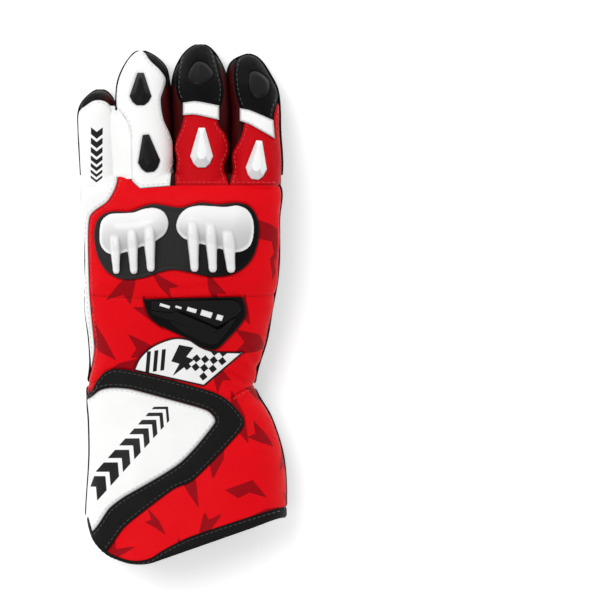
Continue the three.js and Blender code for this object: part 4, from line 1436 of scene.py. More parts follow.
# A moulding's second tint is its painted shade, laid where a piece's tone field rises.
MOULDINGS = {
    "White guard": {
        "base": "guard_white", "second": (0.36, 0.36, 0.37), "roughness": 0.3,
        "Specular_IOR_Level": 0.3, "Coat_Weight": 0.15, "Coat_Roughness": 0.15},
    "Dark guard": {
        "base": "guard_dark", "second": (0.0012, 0.0012, 0.0012), "roughness": 0.38,
        "Specular_IOR_Level": 0.1},
    "Guard rubber": {
        "base": "rubber", "second": (0.003, 0.003, 0.003), "roughness": 0.5, "bump": 0.00006,
        "Specular_IOR_Level": 0.07},
}


def material_named(name):
    """A material of the glove, made when it is first asked for."""
    if name in bpy.data.materials:
        return bpy.data.materials[name]
    if name in LEATHERS:
        return leather_material(name, **LEATHERS[name])
    return moulded_material(name, **MOULDINGS[name])


def thread_material(name, tint):
    material, shader, n, place = new_material(name, tint, 0.6, Sheen_Weight=0.3)
    twist = n.noise(place, 2400, 2, 0.6)
    n.link(n.mix(n.ramp(twist, 0.35, 0.65), colour([v * 0.7 for v in tint]), colour(tint)),
           shader.inputs["Base Color"])
    add_bump(n, shader, twist, 0.0001)
    return material


# A panel on a finger's back: its node, its outline, its material, its slot and the gap at its seam.
FINGER_PANELS = [
    ("little_finger_back", "little_back", "Marked leather", "white_leather", SEAM),
    ("ring_finger_back", "ring_back", "White leather", "white_leather", SEAM),
    ("middle_finger_back", "middle_back", "Red leather", "red_leather", FINE_SEAM),
    ("index_finger_back", "index_back", "Red leather", "red_leather", FINE_SEAM),
    ("middle_finger_cap", "middle_cap", "Black leather", "black_leather", SEAM),
    ("index_finger_cap", "index_cap", "Black leather", "black_leather", SEAM),
]


class GLOVE_OT_leather_panels(bpy.types.Operator):
    """Cuts the hand, the cuff and the fingers from one sewn skin"""

    bl_idname = "glove.leather_panels"
    bl_label = "Leather panels"

    def execute(self, context):
        rest = copy_of(Leather.skin(), "rest")
        Leather.solids["rest"] = rest
        self.finger_backs(rest)
        self.hand_backs(rest)
        self.undersides(rest)
        return {"FINISHED"}

    def finger_backs(self, rest):
        """The fingers' backs and caps, whose room is taken out of the rest of the skin."""
        for node, key, material, slot, gap in FINGER_PANELS:
            side, marks = FINGER_SIDE_SEAM, ()
            if key == "little_back":
                side, marks = LITTLE_SIDE_SEAM, LITTLE_MARKS
            cutters = [prism(grown(LINES[key], -gap / 2)), above_seam(side, SEAM / 2)]
            leather_panel(
                Leather.skin(), node, material, slot, cutters, named_seams(key), side, marks)
            room = prism(grown(LINES[key], gap / 2))
            combined(room, above_seam(side, -SEAM / 2))
            combined(rest, room, "DIFFERENCE")

    def hand_backs(self, rest):
        """The red backs of the hand and of the cuff, with their tonal print."""
        back = prism(np.vstack([LINES["front"], LINES["wrist"][::-1]]))
        cuff = [short_of(LINES["wrist"], -FINE_SEAM), beyond(LINES["binding"], SEAM)]
        jobs = [("hand_back", [back], HAND_SEAMS), ("cuff_back", cuff, named_seams("wrist", "binding"))]
        for node, cutters, seams in jobs:
            cutters.insert(0, above_seam(HAND_SIDE_SEAM, SEAM / 2))
            piece = leather_panel(
                rest, node, "Red leather", "red_leather", cutters, seams, HAND_SIDE_SEAM)
            print_field(piece, shards(), lay=laid_flat)

    def undersides(self, rest):
        """The black undersides of the hand, the cuff and the fingers."""
        upper = short_of(LINES["front"], FINE_SEAM)
        combined(upper, above_seam(HAND_SIDE_SEAM, -SEAM / 2))
        under = copy_of(rest, "under")
        combined(under, upper, "DIFFERENCE")
        cuff = [block(y=(-REACH, WRIST_SEAM_UNDER_Y - SEAM)), beyond(LINES["binding"], SEAM)]
        jobs = [
            ("hand_palm", [block(y=(WRIST_SEAM_UNDER_Y, FINGER_ROOT_Y))], HAND_SIDE_SEAM),
            ("cuff_under", cuff, HAND_SIDE_SEAM),
        ]
        for finger in FINGERS:
            cutter = block((finger.left, finger.right), (FINGER_ROOT_Y + FINE_SEAM / 2, REACH))
            jobs.append((finger.name + "_finger_palm", [cutter], finger.side))
        seams = named_seams("front_seam") + UNDER_SEAMS
        for node, cutters, side in jobs:
            blush_field(
                leather_panel(under, node, "Black leather", "black_leather", cutters, seams, side))
        remove(under)


class GLOVE_OT_thumb(bpy.types.Operator):
    """Makes the thumb that is folded under the palm"""

    bl_idname = "glove.thumb"
    bl_label = "Thumb"

    def execute(self, context):
        pitch = context.scene.glove_leather.pitch
        grid = tube_points(smooth_rows(THUMB, pitch), round(THUMB_GIRTH / pitch))
        whole = closed_tube("thumb", leather_relief(grid, [], THUMB_SIDE_SEAM, [], 31))
        combined(whole, thumb_hollow(pitch * 2), "DIFFERENCE")
        clear = copy_of(Leather.outer(), "clear")
        out = vectors(clear.data.vertices, "normal")
        put_points(clear.data, points_of(clear.data) + SEAM * out)
        combined(whole, clear, "DIFFERENCE")
        halves = [
            ("thumb_back", block(z=(THUMB_SEAM_Z + SEAM / 2, REACH))),
            ("thumb_palm", block(z=(-REACH, THUMB_SEAM_Z - SEAM / 2))),
        ]
        for node, half in halves:
            leather_panel(whole, node, "Black leather", "black_leather", [half], [], THUMB_SIDE_SEAM)
        remove(whole)
        return {"FINISHED"}


# Soft trim that lies on the leather.

def layer(name, sections, sides, outline, thickness, seed, edge, pitch=0.6, span=(-REACH, REACH),
          skive=0):
    """A soft layer on a tube, inside an outline: its edges roll down, and it thins out at the side."""
    rows = smooth_rows(sections, pitch)
    rows = rows[(rows[:, 0] > span[0]) & (rows[:, 0] < span[1])]
    grid = tube_points(widened(rows, LAYER_LIFT), sides)
    points, normals = grid.reshape(-1, 3), grid_normals(grid).reshape(-1, 3)
    x, y, _ = points.T
    depth, across, _ = line_distance(x, y, outline, closed=True, reach=12)
    tilt = (normals[:, :2] * across).sum(1)
    depth = depth / np.sqrt(np.maximum(1 - tilt**2, 0.1))
    top = thickness - edge * bell(depth, 0.8) + 0.1 * waves(points, 19, seed)
    top += 0.35 * (1 - bell(depth, 4))
    top *= 1 - skive * (1 - np.clip(normals[:, 2], 0, 1))
    outer = closed_tube(name, (points + normals * top[:, None]).reshape(grid.shape))
    combined(outer, closed_tube("inner", grid), "DIFFERENCE")
    return combined(outer, prism(outline))


def edge_field(piece, outline):
    """Distance to the piece's outline, as the materials' seam field, which places the painted seam shade
    along the edge.
    """
    x, y, _ = points_of(piece.data).T
    set_field(piece, "seam", np.abs(depth_inside(x, y, outline)))


def no_seam(piece):
    set_field(piece, "seam", np.full(len(piece.data.vertices), FAR_FROM_SEAM))


class GLOVE_OT_cuff_binding(bpy.types.Operator):
    """Folds a binding round the slanted hem"""

    bl_idname = "glove.cuff_binding"
    bl_label = "Hem binding"

    def execute(self, context):
        rows = smooth_rows(HAND, 0.6)
        rows = rows[rows[:, 0] < 60]
        grid = tube_points(rows, BINDING_SIDES)
        points, normals = grid.reshape(-1, 3), grid_normals(grid).reshape(-1, 3)
        x, y, _ = points.T
        hem = line_distance(x, y, LINES["hem"], reach=12)[0]
        edge = line_distance(x, y, LINES["binding"], reach=12)[0]
        roll = 0.9 * bell(hem, 0.9) + 0.6 * bell(edge, 0.7)
        raised = points + normals * (BINDING_EXTRA - roll)[:, None]
        raised[:, 2] = np.maximum(raised[:, 2], 0)
        outer = closed_tube("cuff_binding_edge", raised.reshape(grid.shape))
        inner = tube_points(widened(rows, -WALL - BINDING_EXTRA, 12), BINDING_INNER_SIDES)
        inner[..., 2] = np.maximum(inner[..., 2], WALL + BINDING_EXTRA)
        inner[-1, :, 1] += 8
        combined(outer, closed_tube("inner", inner), "DIFFERENCE")
        combined(outer, prism(np.vstack([LINES["hem"], LINES["binding"][::-1]])))
        keep_main_body(outer)
        no_seam(outer)
        finish_piece(outer, "Cuff border", "binding", "cuff_binding")
        return {"FINISHED"}


class GLOVE_OT_cuff_flap(bpy.types.Operator):
    """Lays the white flap and its broad border over the cuff"""

    bl_idname = "glove.cuff_flap"
    bl_label = "Cuff flap"

    def execute(self, context):
        panel_line = LINES["flap_panel"]
        outline, hole = grown(panel_line, -SEAM / 2), grown(panel_line, SEAM / 2)
        panel = self.flap("flap_panel", outline, 0.8)
        refine_along(panel, FLAP_MARKS, lay=laid_flat)
        edge_field(panel, outline)
        print_field(panel, FLAP_MARKS, lay=laid_flat)
        finish_piece(panel, "Marked leather", "white_leather", "flap_panel")
        border = self.flap("flap_border", LINES["flap_border"], 0.7, hole)
        edge_field(border, hole)
        finish_piece(border, "Cuff border", "binding", "flap_border")
        return {"FINISHED"}

    def flap(self, node, outline, edge, hole=None):
        """A layer over the cuff, trimmed at the side seam and at the hem's binding."""
        piece = layer(
            node + "_leather", HAND, FLAP_SIDES, outline, FLAP_THICKNESS, 41, edge, span=(-9, 130),
            skive=FLAP_SKIVE)
        combined(piece, above_seam(HAND_SIDE_SEAM, SEAM))
        combined(piece, beyond(LINES["binding"], SEAM))
        if hole is not None:
            combined(piece, prism(hole), "DIFFERENCE")
        return keep_main_body(piece)


class GLOVE_OT_wrist_badge(bpy.types.Operator):
    """Lays a patch between the wrist plate and the flap"""

    bl_idname = "glove.wrist_badge"
    bl_label = "Wrist patch"

    def execute(self, context):
        piece = layer(
            "wrist_badge_patch", HAND, BADGE_SIDES, LINES["badge"], BADGE_THICKNESS, 43, 0.5,
            span=(100, 150))
        combined(piece, prism(grown(LINES["flap_border"], SEAM)), "DIFFERENCE")
        combined(piece, prism(grown(LINES["plate"], SEAM)), "DIFFERENCE")
        keep_main_body(piece)
        rim = grown(LINES["badge"], -BADGE_RIM)
        refine_along(piece, BADGE_MARKS + [rim])
        edge_field(piece, LINES["badge"])
        print_field(piece, BADGE_MARKS, rim)
        finish_piece(piece, "Marked leather", "badge", "wrist_badge")
        return {"FINISHED"}


class GLOVE_OT_finger_bands(bpy.types.Operator):
    """Lays a white band across the middle and the index finger"""

    bl_idname = "glove.finger_bands"
    bl_label = "Finger bands"

    def execute(self, context):
        for node, sections in (("middle_band", MIDDLE), ("index_band", INDEX)):
            piece = layer(
                node + "_strip", sections, BAND_SIDES, LINES[node], BAND_THICKNESS, 47, 0.5, pitch=0.45)
            combined(piece, above_seam(FINGER_SIDE_SEAM))
            keep_main_body(piece)
            edge_field(piece, LINES[node])
            finish_piece(piece, "White leather", "white_leather", node)
        return {"FINISHED"}


class GLOVE_OT_finger_bridge(bpy.types.Operator):
    """Fills the valley between the little and the ring finger with padding"""

    bl_idname = "glove.finger_bridge"
    bl_label = "Finger bridge"

    def execute(self, context):
        little, ring = smooth_rows(LITTLE, 1), smooth_rows(RING, 1)
        across = np.linspace(0, 1, BRIDGE_STEPS)
        rows = []
        for y in np.linspace(*BRIDGE_SPAN, BRIDGE_ROWS):
            level = np.full(BRIDGE_STEPS, y)
            left, right = np.interp(y, *BRIDGE_LEFT), np.interp(y, *BRIDGE_RIGHT)
            x = left + (right - left) * across
            drape = np.maximum(top_height(little, x, level), top_height(ring, x, level))
            straight = drape[0] + (drape[-1] - drape[0]) * across
            end = 1 - smooth_step(y, 278, BRIDGE_SPAN[1])
            root = smooth_step(y, 240, 244)
            swell = 1.5 * np.sin(across * math.pi) ** 0.8 * end * root
            lift = 0.95 * np.minimum(1, np.sin(across * math.pi) * 4 + 0.25) - 3.4 * (1 - end)
            top = np.maximum(drape, straight * end + drape * (1 - end) + swell) + lift
            upper = np.column_stack([x, level, top])
            lower = np.column_stack([x, level, np.minimum(top - 1, straight - 7)])
            rows.append(np.vstack([upper[::-1], lower]))
        piece = closed_tube("finger_bridge_pad", np.array(rows))
        combined(piece, copy_of(Leather.outer(), "clear"), "DIFFERENCE")
        keep_main_body(piece)
        no_seam(piece)
        finish_piece(piece, "White leather", "white_leather", "finger_bridge")
        Leather.done()
        return {"FINISHED"}


# Moulded guards.

def new_circle(name, count, **values):
    bpy.ops.object.select_all(action="DESELECT")
    bpy.ops.mesh.primitive_circle_add(vertices=count, radius=0.01, **values)
    piece = bpy.context.object
    piece.name = name
    piece.data.name = name
    return piece


def ring_mesh(name, outline, centre, shares):
    """A disc of rings: a circle laid on an outline, then drawn in towards its middle."""
    piece = new_circle(name, len(outline))
    put_points(piece.data, np.column_stack([anticlockwise(outline), np.zeros(len(outline))]))
    middle = (np.array([centre[0], centre[1], 0.0]) + SHIFT) * MM
    last = 1.0
    with edit_mode():
        bpy.ops.mesh.select_all(action="SELECT")
        for share in shares:
            bpy.ops.mesh.extrude_region_move()
            factor = share / last
            bpy.ops.transform.resize(value=(factor, factor, 1), center_override=tuple(middle))
            last = share
        bpy.ops.mesh.merge(type="CENTER")
    return piece


def moulded(name, outline, centre, upper, lower, pitch=0.5):
    """A moulding on an outline: rings raised to one height field, closed below by another."""
    radius = np.linalg.norm(outline - np.array(centre), axis=1).mean()
    first = [1 - d / radius for d in (0.06, 0.16, 0.32, 0.55, 0.85, 1.2)]
    rings = max(6, round(radius / pitch))
    rest = [share for share in np.linspace(1, 0, rings)[1:-1] if share < first[-1] - 0.4 / radius]
    piece = ring_mesh(name, outline, centre, first + rest)
    x, y, _ = points_of(piece.data).T
    top, bottom = (np.column_stack([x, y, height(x, y)]) for height in (upper, lower))
    faces = [tuple(face.vertices) for face in piece.data.polygons]
    count = len(x)
    both = faces + [tuple(v + count for v in face[::-1]) for face in faces]
    both += wall(len(outline), count)
    remove(piece)
    return face_outwards(mesh_object(name, np.vstack([top, bottom]), both))


def quarter_round(depth, radius):
    """How far a rounded edge lies below its face at a depth inside the outline."""
    inward = np.clip(radius - depth, 0, radius)
    return radius - np.sqrt(np.maximum(radius**2 - inward**2, 0))


HAND_ROWS = smooth_rows(HAND, 1.0)


def hand_top(x, y):
    return top_height(HAND_ROWS, x, y)


def over_hand(lift):
    """A height field that stands a fixed height over the hand."""
    return lambda x, y: hand_top(x, y) + lift


def rounded_top(outline, lift, radius, reach):
    """A height field over the hand, rounded down along an outline."""
    return lambda x, y: (
        hand_top(x, y) + lift - quarter_round(depth_inside(x, y, outline, reach), radius))


class GLOVE_OT_knuckle_guard(bpy.types.Operator):
    """Builds the rubber base and the two ribbed shells over the knuckles"""

    bl_idname = "glove.knuckle_guard"
    bl_label = "Knuckle guard"

    def execute(self, context):
        line = LINES["knuckle_base"]
        rounded = rounded_top(line, BASE_LIFT + BASE_THICKNESS, 1.1, 12)

        def base_top(x, y):
            rim = 0.45 * bell(depth_inside(x, y, line, 12) - 2.4, 0.7)
            return rounded(x, y) - rim

        base = moulded(
            "knuckle_base_rubber", line, (-3, 202), base_top, over_hand(BASE_LIFT), pitch=0.8)
        x, y, _ = points_of(base.data).T
        # Painted shade: the rubber darkens to nearly black towards the right and towards the wrist.
        set_field(base, "tone", smooth_step(x - 0.5 * (y - 200), 2, 42))
        finish_piece(base, "Guard rubber", "guard_rubber", "knuckle_base")
        self.shell("knuckle_shell_outer", LINES["outer_shell"], (-29, 208), OUTER_RIBS)
        self.shell("knuckle_shell_inner", LINES["inner_shell"], (21, 211), INNER_RIBS)
        return {"FINISHED"}

    def shell(self, node, outline, centre, ribs):
        """One shell: a lipped dome joined with its ribs in a single moulding."""
        foot = BASE_LIFT + BASE_THICKNESS + 0.15

        def dome_top(x, y):
            depth = depth_inside(x, y, outline, 24)
            rear = smooth_step(centre[1] - 3 - y, -4, 6)
            inner = np.maximum(depth - LIP_WIDTH * rear, 0)
            rise = 1 - np.exp(-((inner / 5.6) ** 1.15))
            crown = SHELL_HEIGHT - 0.11 * np.maximum(centre[1] + 6 - y, 0)
            lift = LIP_HEIGHT + (crown - LIP_HEIGHT) * rise - quarter_round(depth, 0.9)
            return hand_top(x, y) + np.maximum(lift, foot + 0.2)

        piece = moulded(
            node + "_moulding", outline, centre, dome_top, over_hand(foot), pitch=0.55)
        for rib in ribs:
            combined(piece, self.rib(rib, foot), "UNION")
        apply_modifier(piece, "REMESH", mode="VOXEL", voxel_size=SHELL_VOXEL * MM)
        apply_modifier(piece, "SMOOTH", factor=0.5, iterations=5)
        keep_main_body(piece)
        # Painted shade: the tone field greys the dome towards the wrist, above the lip, and less on the
        # ribs' crowns.
        x, y, z = points_of(piece.data).T
        depth = depth_inside(x, y, outline, 24)
        above_lip = smooth_step(depth, 0.6, 2.6) * (1 - smooth_step(y - centre[1], -9, 12))
        crown = smooth_step(z - dome_top(x, y), 0.2, 1.5) * (depth > 0)
        set_field(piece, "tone", 0.5 * above_lip * (1 - 0.7 * crown))
        finish_piece(piece, "White guard", "white_guard", node, smooth=80)

    def rib(self, rib, foot):
        """One rib: a ball drawn out along its line, set down on the hand's curve."""
        start, end = np.array([rib.x0, rib.y0]), np.array([rib.x1, rib.y1])
        reach = float(np.linalg.norm(end - start))
        way = (end - start) / reach
        side = np.array([-way[1], way[0]])
        radius = rib.width / 2
        bpy.ops.object.select_all(action="DESELECT")
        bpy.ops.mesh.primitive_uv_sphere_add(segments=40, ring_count=24, radius=1)
        ball = bpy.context.object
        ball.name = "rib"
        drawn = vectors(ball.data.vertices, "co")
        drawn[:, 0] = drawn[:, 0] * radius + np.where(drawn[:, 0] > 1e-4, reach, 0)
        ball.data.vertices.foreach_set("co", drawn.astype(np.float32).ravel())
        with edit_mode():
            for step in range(1, RIB_SLICES):
                bpy.ops.mesh.select_all(action="SELECT")
                bpy.ops.mesh.bisect(plane_co=(reach * step / RIB_SLICES, 0, 0), plane_no=(1, 0, 0))
        local = vectors(ball.data.vertices, "co")
        share = np.clip(local[:, 0] / reach, 0, 1)
        across = np.sign(local[:, 1]) * np.abs(local[:, 1]) ** RIB_SQUARENESS
        taper = 1 - RIB_TAPER * smooth_step(share, 0.35, 1.1)
        spot = start + way * local[:, :1] + side * (across * radius * taper)[:, None]
        crown = np.interp(share, *RIB_CROWN)
        height = np.where(local[:, 2] > 0, np.abs(local[:, 2]) ** RIB_SQUARENESS * (crown - foot), 0)
        z = hand_top(spot[:, 0], spot[:, 1]) + foot + 0.02 + height
        put_points(ball.data, np.column_stack([spot, z]))
        return face_outwards(ball, weld=0.00002)


class GLOVE_OT_wrist_plate(bpy.types.Operator):
    """Builds the wrist plate, its raised cap and the vents in it"""

    bl_idname = "glove.wrist_plate"
    bl_label = "Wrist plate"

    def execute(self, context):
        line, cap_line, step_line = LINES["plate"], LINES["cap"], LINES["step"]
        seat = BASE_LIFT + PLATE_THICKNESS + 0.05
        low = over_hand(seat - 0.6)
        plate_top = rounded_top(line, BASE_LIFT + PLATE_THICKNESS, 0.9, 14)
        step_top = rounded_top(step_line, seat + CAP_THICKNESS, 0.5, 10)
        cap_top = rounded_top(cap_line, seat + CAP_THICKNESS, 0.5, 10)
        plate = moulded(
            "wrist_plate_moulding", line, (12, 155), plate_top, over_hand(BASE_LIFT), pitch=0.65)
        combined(plate, moulded("step", step_line, (18, 143), step_top, low, pitch=0.45), "UNION")
        x, y, z = points_of(plate.data).T
        # Painted shade: the plate's low border round the cap and the step takes the darker tint.
        set_field(plate, "tone", z < hand_top(x, y) + seat + 0.4)
        finish_piece(plate, "Dark guard", "dark_guard", "wrist_plate")
        cap = moulded("wrist_plate_cap_moulding", cap_line, (14, 157.5), cap_top, low, pitch=0.45)
        # Painted light: each vent is filled with a white moulding that stands for the brightness showing
        # in the vent.
        for number, vent in enumerate(VENTS, 1):
            combined(cap, prism(self.slot_outline(vent, 0.12)), "DIFFERENCE")
            inner = self.slot_outline(vent, 0)
            vent_top = rounded_top(inner, seat + CAP_THICKNESS - 0.45, 0.3, 4)
            insert = moulded(
                f"vent_{number}_insert", inner, (vent.x, vent.y), vent_top, low, pitch=0.3)
            finish_piece(insert, "White guard", "vent_insert", f"vent_{number}")
        finish_piece(cap, "Dark guard", "dark_guard", "wrist_plate_cap")
        return {"FINISHED"}

    def slot_outline(self, vent, extra):
        half, tall = vent.length / 2 + extra, vent.width / 2 + extra
        corners = [(-half, -tall), (half, -tall), (half, tall), (-half, tall)]
        points = [
            (vent.x + x + VENT_LEAN * y, vent.y + y - VENT_FALL * x) for x, y in corners]
        return curved(points, closed=True, step=0.4, corner=30)


class GLOVE_OT_finger_drops(bpy.types.Operator):
    """Sets the faceted drops and the fingertip pads on the fingers"""

    bl_idname = "glove.finger_drops"
    bl_label = "Finger drops"

    def execute(self, context):
        for drop in DROPS:
            material, slot = DROP_LOOKS[drop.dark]
            piece = self.faceted(drop, DROP_OUTLINE, DROP_RINGS)
            self.shade_facets(piece, drop)
            finish_piece(piece, material, slot, drop.name, smooth=25)
        rounded = curved(TIP_PAD_OUTLINE, closed=True, step=0.07, corner=120)
        for pad in TIP_PADS:
            piece = self.faceted(pad, rounded, TIP_PAD_RINGS)
            finish_piece(piece, "Dark guard", "dark_guard", pad.name, smooth=25)
        return {"FINISHED"}

    def shade_facets(self, piece, drop):
        """Painted shade: a second tint for the facets at the wrist's end, and a trace of it on the left.
        """
        mesh = piece.data
        cos, sin = math.cos(math.radians(drop.turn)), math.sin(math.radians(drop.turn))
        x, y, _ = vectors(mesh.polygons, "normal").T
        left = -x * cos - y * sin
        x, y, _ = middles_of(mesh).T
        along = (y - drop.y) * cos - (x - drop.x) * sin
        lower = smooth_step(-along / drop.length, 0.26, 0.31)
        tone = lower * 0.5 + smooth_step(left, 0.25, 0.45) * 0.2 * (1 - lower)
        # On a dark drop the field is negative and half as strong, for a painted lighter facet.
        tone *= -0.5 if drop.dark else 1
        field = mesh.attributes.new("tone", "FLOAT", "FACE")
        field.data.foreach_set("value", tone.astype(np.float32))

    def faceted(self, drop, outline, rings):
        """A circle laid on an outline, extruded ring by ring, capped and bevelled."""
        rows = smooth_rows(drop.on, 1.0)
        piece = new_circle(drop.name + "_moulding", len(outline), fill_type="NGON")
        with edit_mode():
            for _ in rings[1:]:
                bpy.ops.mesh.extrude_region_move(TRANSFORM_OT_translate={"value": (0, 0, MM)})
        line = anticlockwise(outline)
        points = []
        for across, along, back, lift in rings:
            ring = placed(line * (across, along) + (0, back), drop)
            points.append(np.column_stack([ring, top_height(rows, ring[:, 0], ring[:, 1]) + lift]))
        put_points(piece.data, np.vstack(points))
        face_outwards(piece)
        apply_modifier(
            piece, "BEVEL", width=0.35 * MM, segments=3, limit_method="ANGLE",
            angle_limit=math.radians(12))
        return piece


# Piping along the side seams.

def oval_x(sections, y, z, side):
    """Where a tube's surface lies across, at a height on its left or right side."""
    rows = smooth_rows(sections, 1)
    left, right, bottom, top = section_at(rows, y)
    rise = np.minimum(np.abs((z - (bottom + top) / 2) / ((top - bottom) / 2)), 1)
    half = (right - left) / 2 * (1 - rise**ROUNDNESS) ** (1 / ROUNDNESS)
    return (left + right) / 2 + side * (half + PIPING_OUT)


def cord_tube(name, path, radius):
    """A round cord through a path, closed at both ends."""
    path = np.array(path, float)
    step = np.gradient(path, axis=0)
    step /= np.linalg.norm(step, axis=1)[:, None]
    up = np.array([0, 0, 1.0])
    side = np.cross(step, up)
    side /= np.maximum(np.linalg.norm(side, axis=1)[:, None], 1e-9)
    other = np.cross(side, step)
    angle = (np.arange(CORD_SIDES) * 2 * math.pi / CORD_SIDES)[None, :, None]
    reach = np.full(len(path), radius)
    reach[0] = reach[-1] = radius * 0.4
    ring = side[:, None] * np.cos(angle) + other[:, None] * np.sin(angle)
    return face_outwards(closed_tube(name, path[:, None] + ring * reach[:, None, None]))


class GLOVE_OT_piping(bpy.types.Operator):
    """Runs a thin black piping along the side seams of the hand, the cuff and the fingers"""

    bl_idname = "glove.piping"
    bl_label = "Piping"

    def execute(self, context):
        routes = []
        for side, start, end in ((-1, 114, 240), (1, 36, 111), (1, 113, 240)):
            seam = HAND_SIDE_SEAM if side > 0 else LITTLE_SIDE_SEAM
            y = np.arange(start, end, CORD_PITCH)
            routes.append(("hand", self.route(HAND, seam, y, side), 1.0))
        y = np.arange(30, 112, CORD_PITCH)
        along_flap = self.route(HAND, HAND_SIDE_SEAM, y, -1)
        along_flap[:, 0] -= FLAP_PIPING_OUT * (1 - smooth_step(y, 96, 106))
        routes.append(("flap", along_flap, 1.05))
        for finger in FINGERS:
            y = np.linspace(243, finger.sections[-1].y + 0.4, 120)
            _, _, low, high = section_at(smooth_rows(finger.sections, 1), y)
            z = side_height(finger.side, y)
            y = y[(z > low) & (z < high)]
            left, right = (self.route(finger.sections, finger.side, y, side) for side in (-1, 1))
            routes.append((finger.name, np.vstack([left, right[::-1]]), 0.8))
        for number, (name, path, radius) in enumerate(routes, 1):
            piece = cord_tube(f"{name}_piping_{number}", path, radius)
            no_seam(piece)
            finish_piece(piece, "Piping leather", "binding")
        return {"FINISHED"}

    def route(self, sections, seam, y, side):
        z = side_height(seam, y)
        return np.column_stack([oval_x(sections, y, z, side), y, z])


# Stitches.

class Surface:
    """What lies on top at a point of the plan, among the finished pieces."""

    def __init__(self):
        graph = bpy.context.evaluated_depsgraph_get()
        pieces = [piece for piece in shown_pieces() if "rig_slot" in piece]
        self.trees = [(piece.name, BVHTree.FromObject(piece, graph)) for piece in pieces]

    def at(self, x, y, under=False):
        """Name, place in millimetres and normal of the topmost or lowest surface, or nothing."""
        start = Vector((np.array([x, y, -50.0 if under else 150.0]) + SHIFT) * MM)
        way = Vector((0, 0, 1 if under else -1))
        best = None
        for name, tree in self.trees:
            place, normal, _, distance = tree.ray_cast(start, way, 0.2)
            if place is not None and (best is None or distance < best[3]):
                best = (name, np.array(place) / MM - SHIFT, np.array(normal), distance)
        return best


def offset_line(line, distance, closed):
    """A line moved sideways: inwards for a closed outline, to its right for an open line."""
    if closed:
        return grown(line, -distance)
    step = np.gradient(line, axis=0)
    step /= np.linalg.norm(step, axis=1)[:, None]
    return line + distance * np.column_stack([step[:, 1], -step[:, 0]])


def evenly(line, closed, pitch):
    """Points at even steps along a line, with the direction of the line at each."""
    points = np.vstack([line, line[:1]]) if closed else line
    run = np.concatenate([[0], np.cumsum(np.linalg.norm(np.diff(points, axis=0), axis=1))])
    at = np.arange(0.5, math.floor(run[-1] / pitch)) * pitch
    middle = np.column_stack([np.interp(at, run, points[:, axis]) for axis in (0, 1)])
    ahead = np.column_stack([np.interp(at + 0.3, run, points[:, axis]) for axis in (0, 1)])
    way = ahead - middle
    return middle, way / np.maximum(np.linalg.norm(way, axis=1)[:, None], 1e-9)


# Stations along a stitch: share of its length, share of its width and lift in millimetres.
STITCH_STATIONS = [
    (0, 0.35, -0.25), (0.12, 0.85, 0.02), (0.5, 1.0, 0.16), (0.88, 0.85, 0.02), (1, 0.35, -0.25),
]


def thread_mesh(name, ends, material, slot, radius=0.3):
    """Many short stitches as one mesh: each a small rounded bar with its ends sunk in."""
    ends = np.array(ends)
    first, last, up = ends[:, 0], ends[:, 1], ends[:, 2]
    way = last - first
    way /= np.linalg.norm(way, axis=1)[:, None]
    side = np.cross(way, up)
    side /= np.linalg.norm(side, axis=1)[:, None]
    angle = (np.arange(6) * math.pi / 3)[None, :, None]
    rings = []
    for share, width, lift in STITCH_STATIONS:
        centre = first + (last - first) * share + up * lift
        rings.append(
            centre[:, None] + side[:, None] * (np.cos(angle) * radius * width)
            + up[:, None] * (np.sin(angle) * radius * width))
    grid = np.stack(rings, axis=1)
    count, stages, sides = grid.shape[:3]
    index = np.arange(count * stages * sides).reshape(count, stages, sides)
    turned = np.roll(index, -1, axis=2)
    quads = np.stack([index[:, :-1], turned[:, :-1], turned[:, 1:], index[:, 1:]], axis=-1)
    faces = quads.reshape(-1, 4).tolist()
    faces += index[:, 0, ::-1].tolist()
    faces += index[:, -1].tolist()
    piece = mesh_object(name, grid.reshape(-1, 3), faces)
    return finish_piece(piece, material, slot, smooth=60)


Row = namedtuple("Row", "line inward on thread under", defaults=[False])
STITCH_ROWS = [
    Row("little_back", 1.9, "little_finger_back_leather", "white"),
    Row("little_back", -1.9, "hand_back_leather", "red"),
    Row("ring_back", 1.8, "ring_finger_back_leather", "white"),
    Row("middle_back", 1.8, "middle_finger_back_leather", "red"),
    Row("index_back", 1.8, "index_finger_back_leather", "red"),
    Row("middle_cap", 1.8, "middle_finger_cap_leather", "black"),
    Row("index_cap", 1.8, "index_finger_cap_leather", "black"),
    Row("wrist", 1.9, "cuff_back_leather", "red"),
    Row("flap_border", 1.7, "flap_border_leather", "black"),
    Row("flap_panel", -1.9, "flap_border_leather", "black"),
    Row("flap_panel", 1.9, "flap_panel_leather", "white"),
    Row("binding", -1.6, "cuff_binding_edge", "black"),
    Row("binding", 1.6, "cuff_binding_edge", "black"),
    Row("middle_band", 1.0, "middle_band_strip", "white"),
    Row("index_band", 1.0, "index_band_strip", "white"),
    Row("wrist_under", 1.9, "cuff_under_leather", "black", True),
    Row("wrist_under", -1.9, "hand_palm_leather", "black", True),
    Row("root_under", 1.9, "hand_palm_leather", "black", True),
]
THREADS = {
    "red": ((0.62, 0.004, 0.01), "red_leather"),
    "white": ((0.82, 0.82, 0.81), "white_leather"),
    "black": ((0.014, 0.014, 0.014), "black_leather"),
}


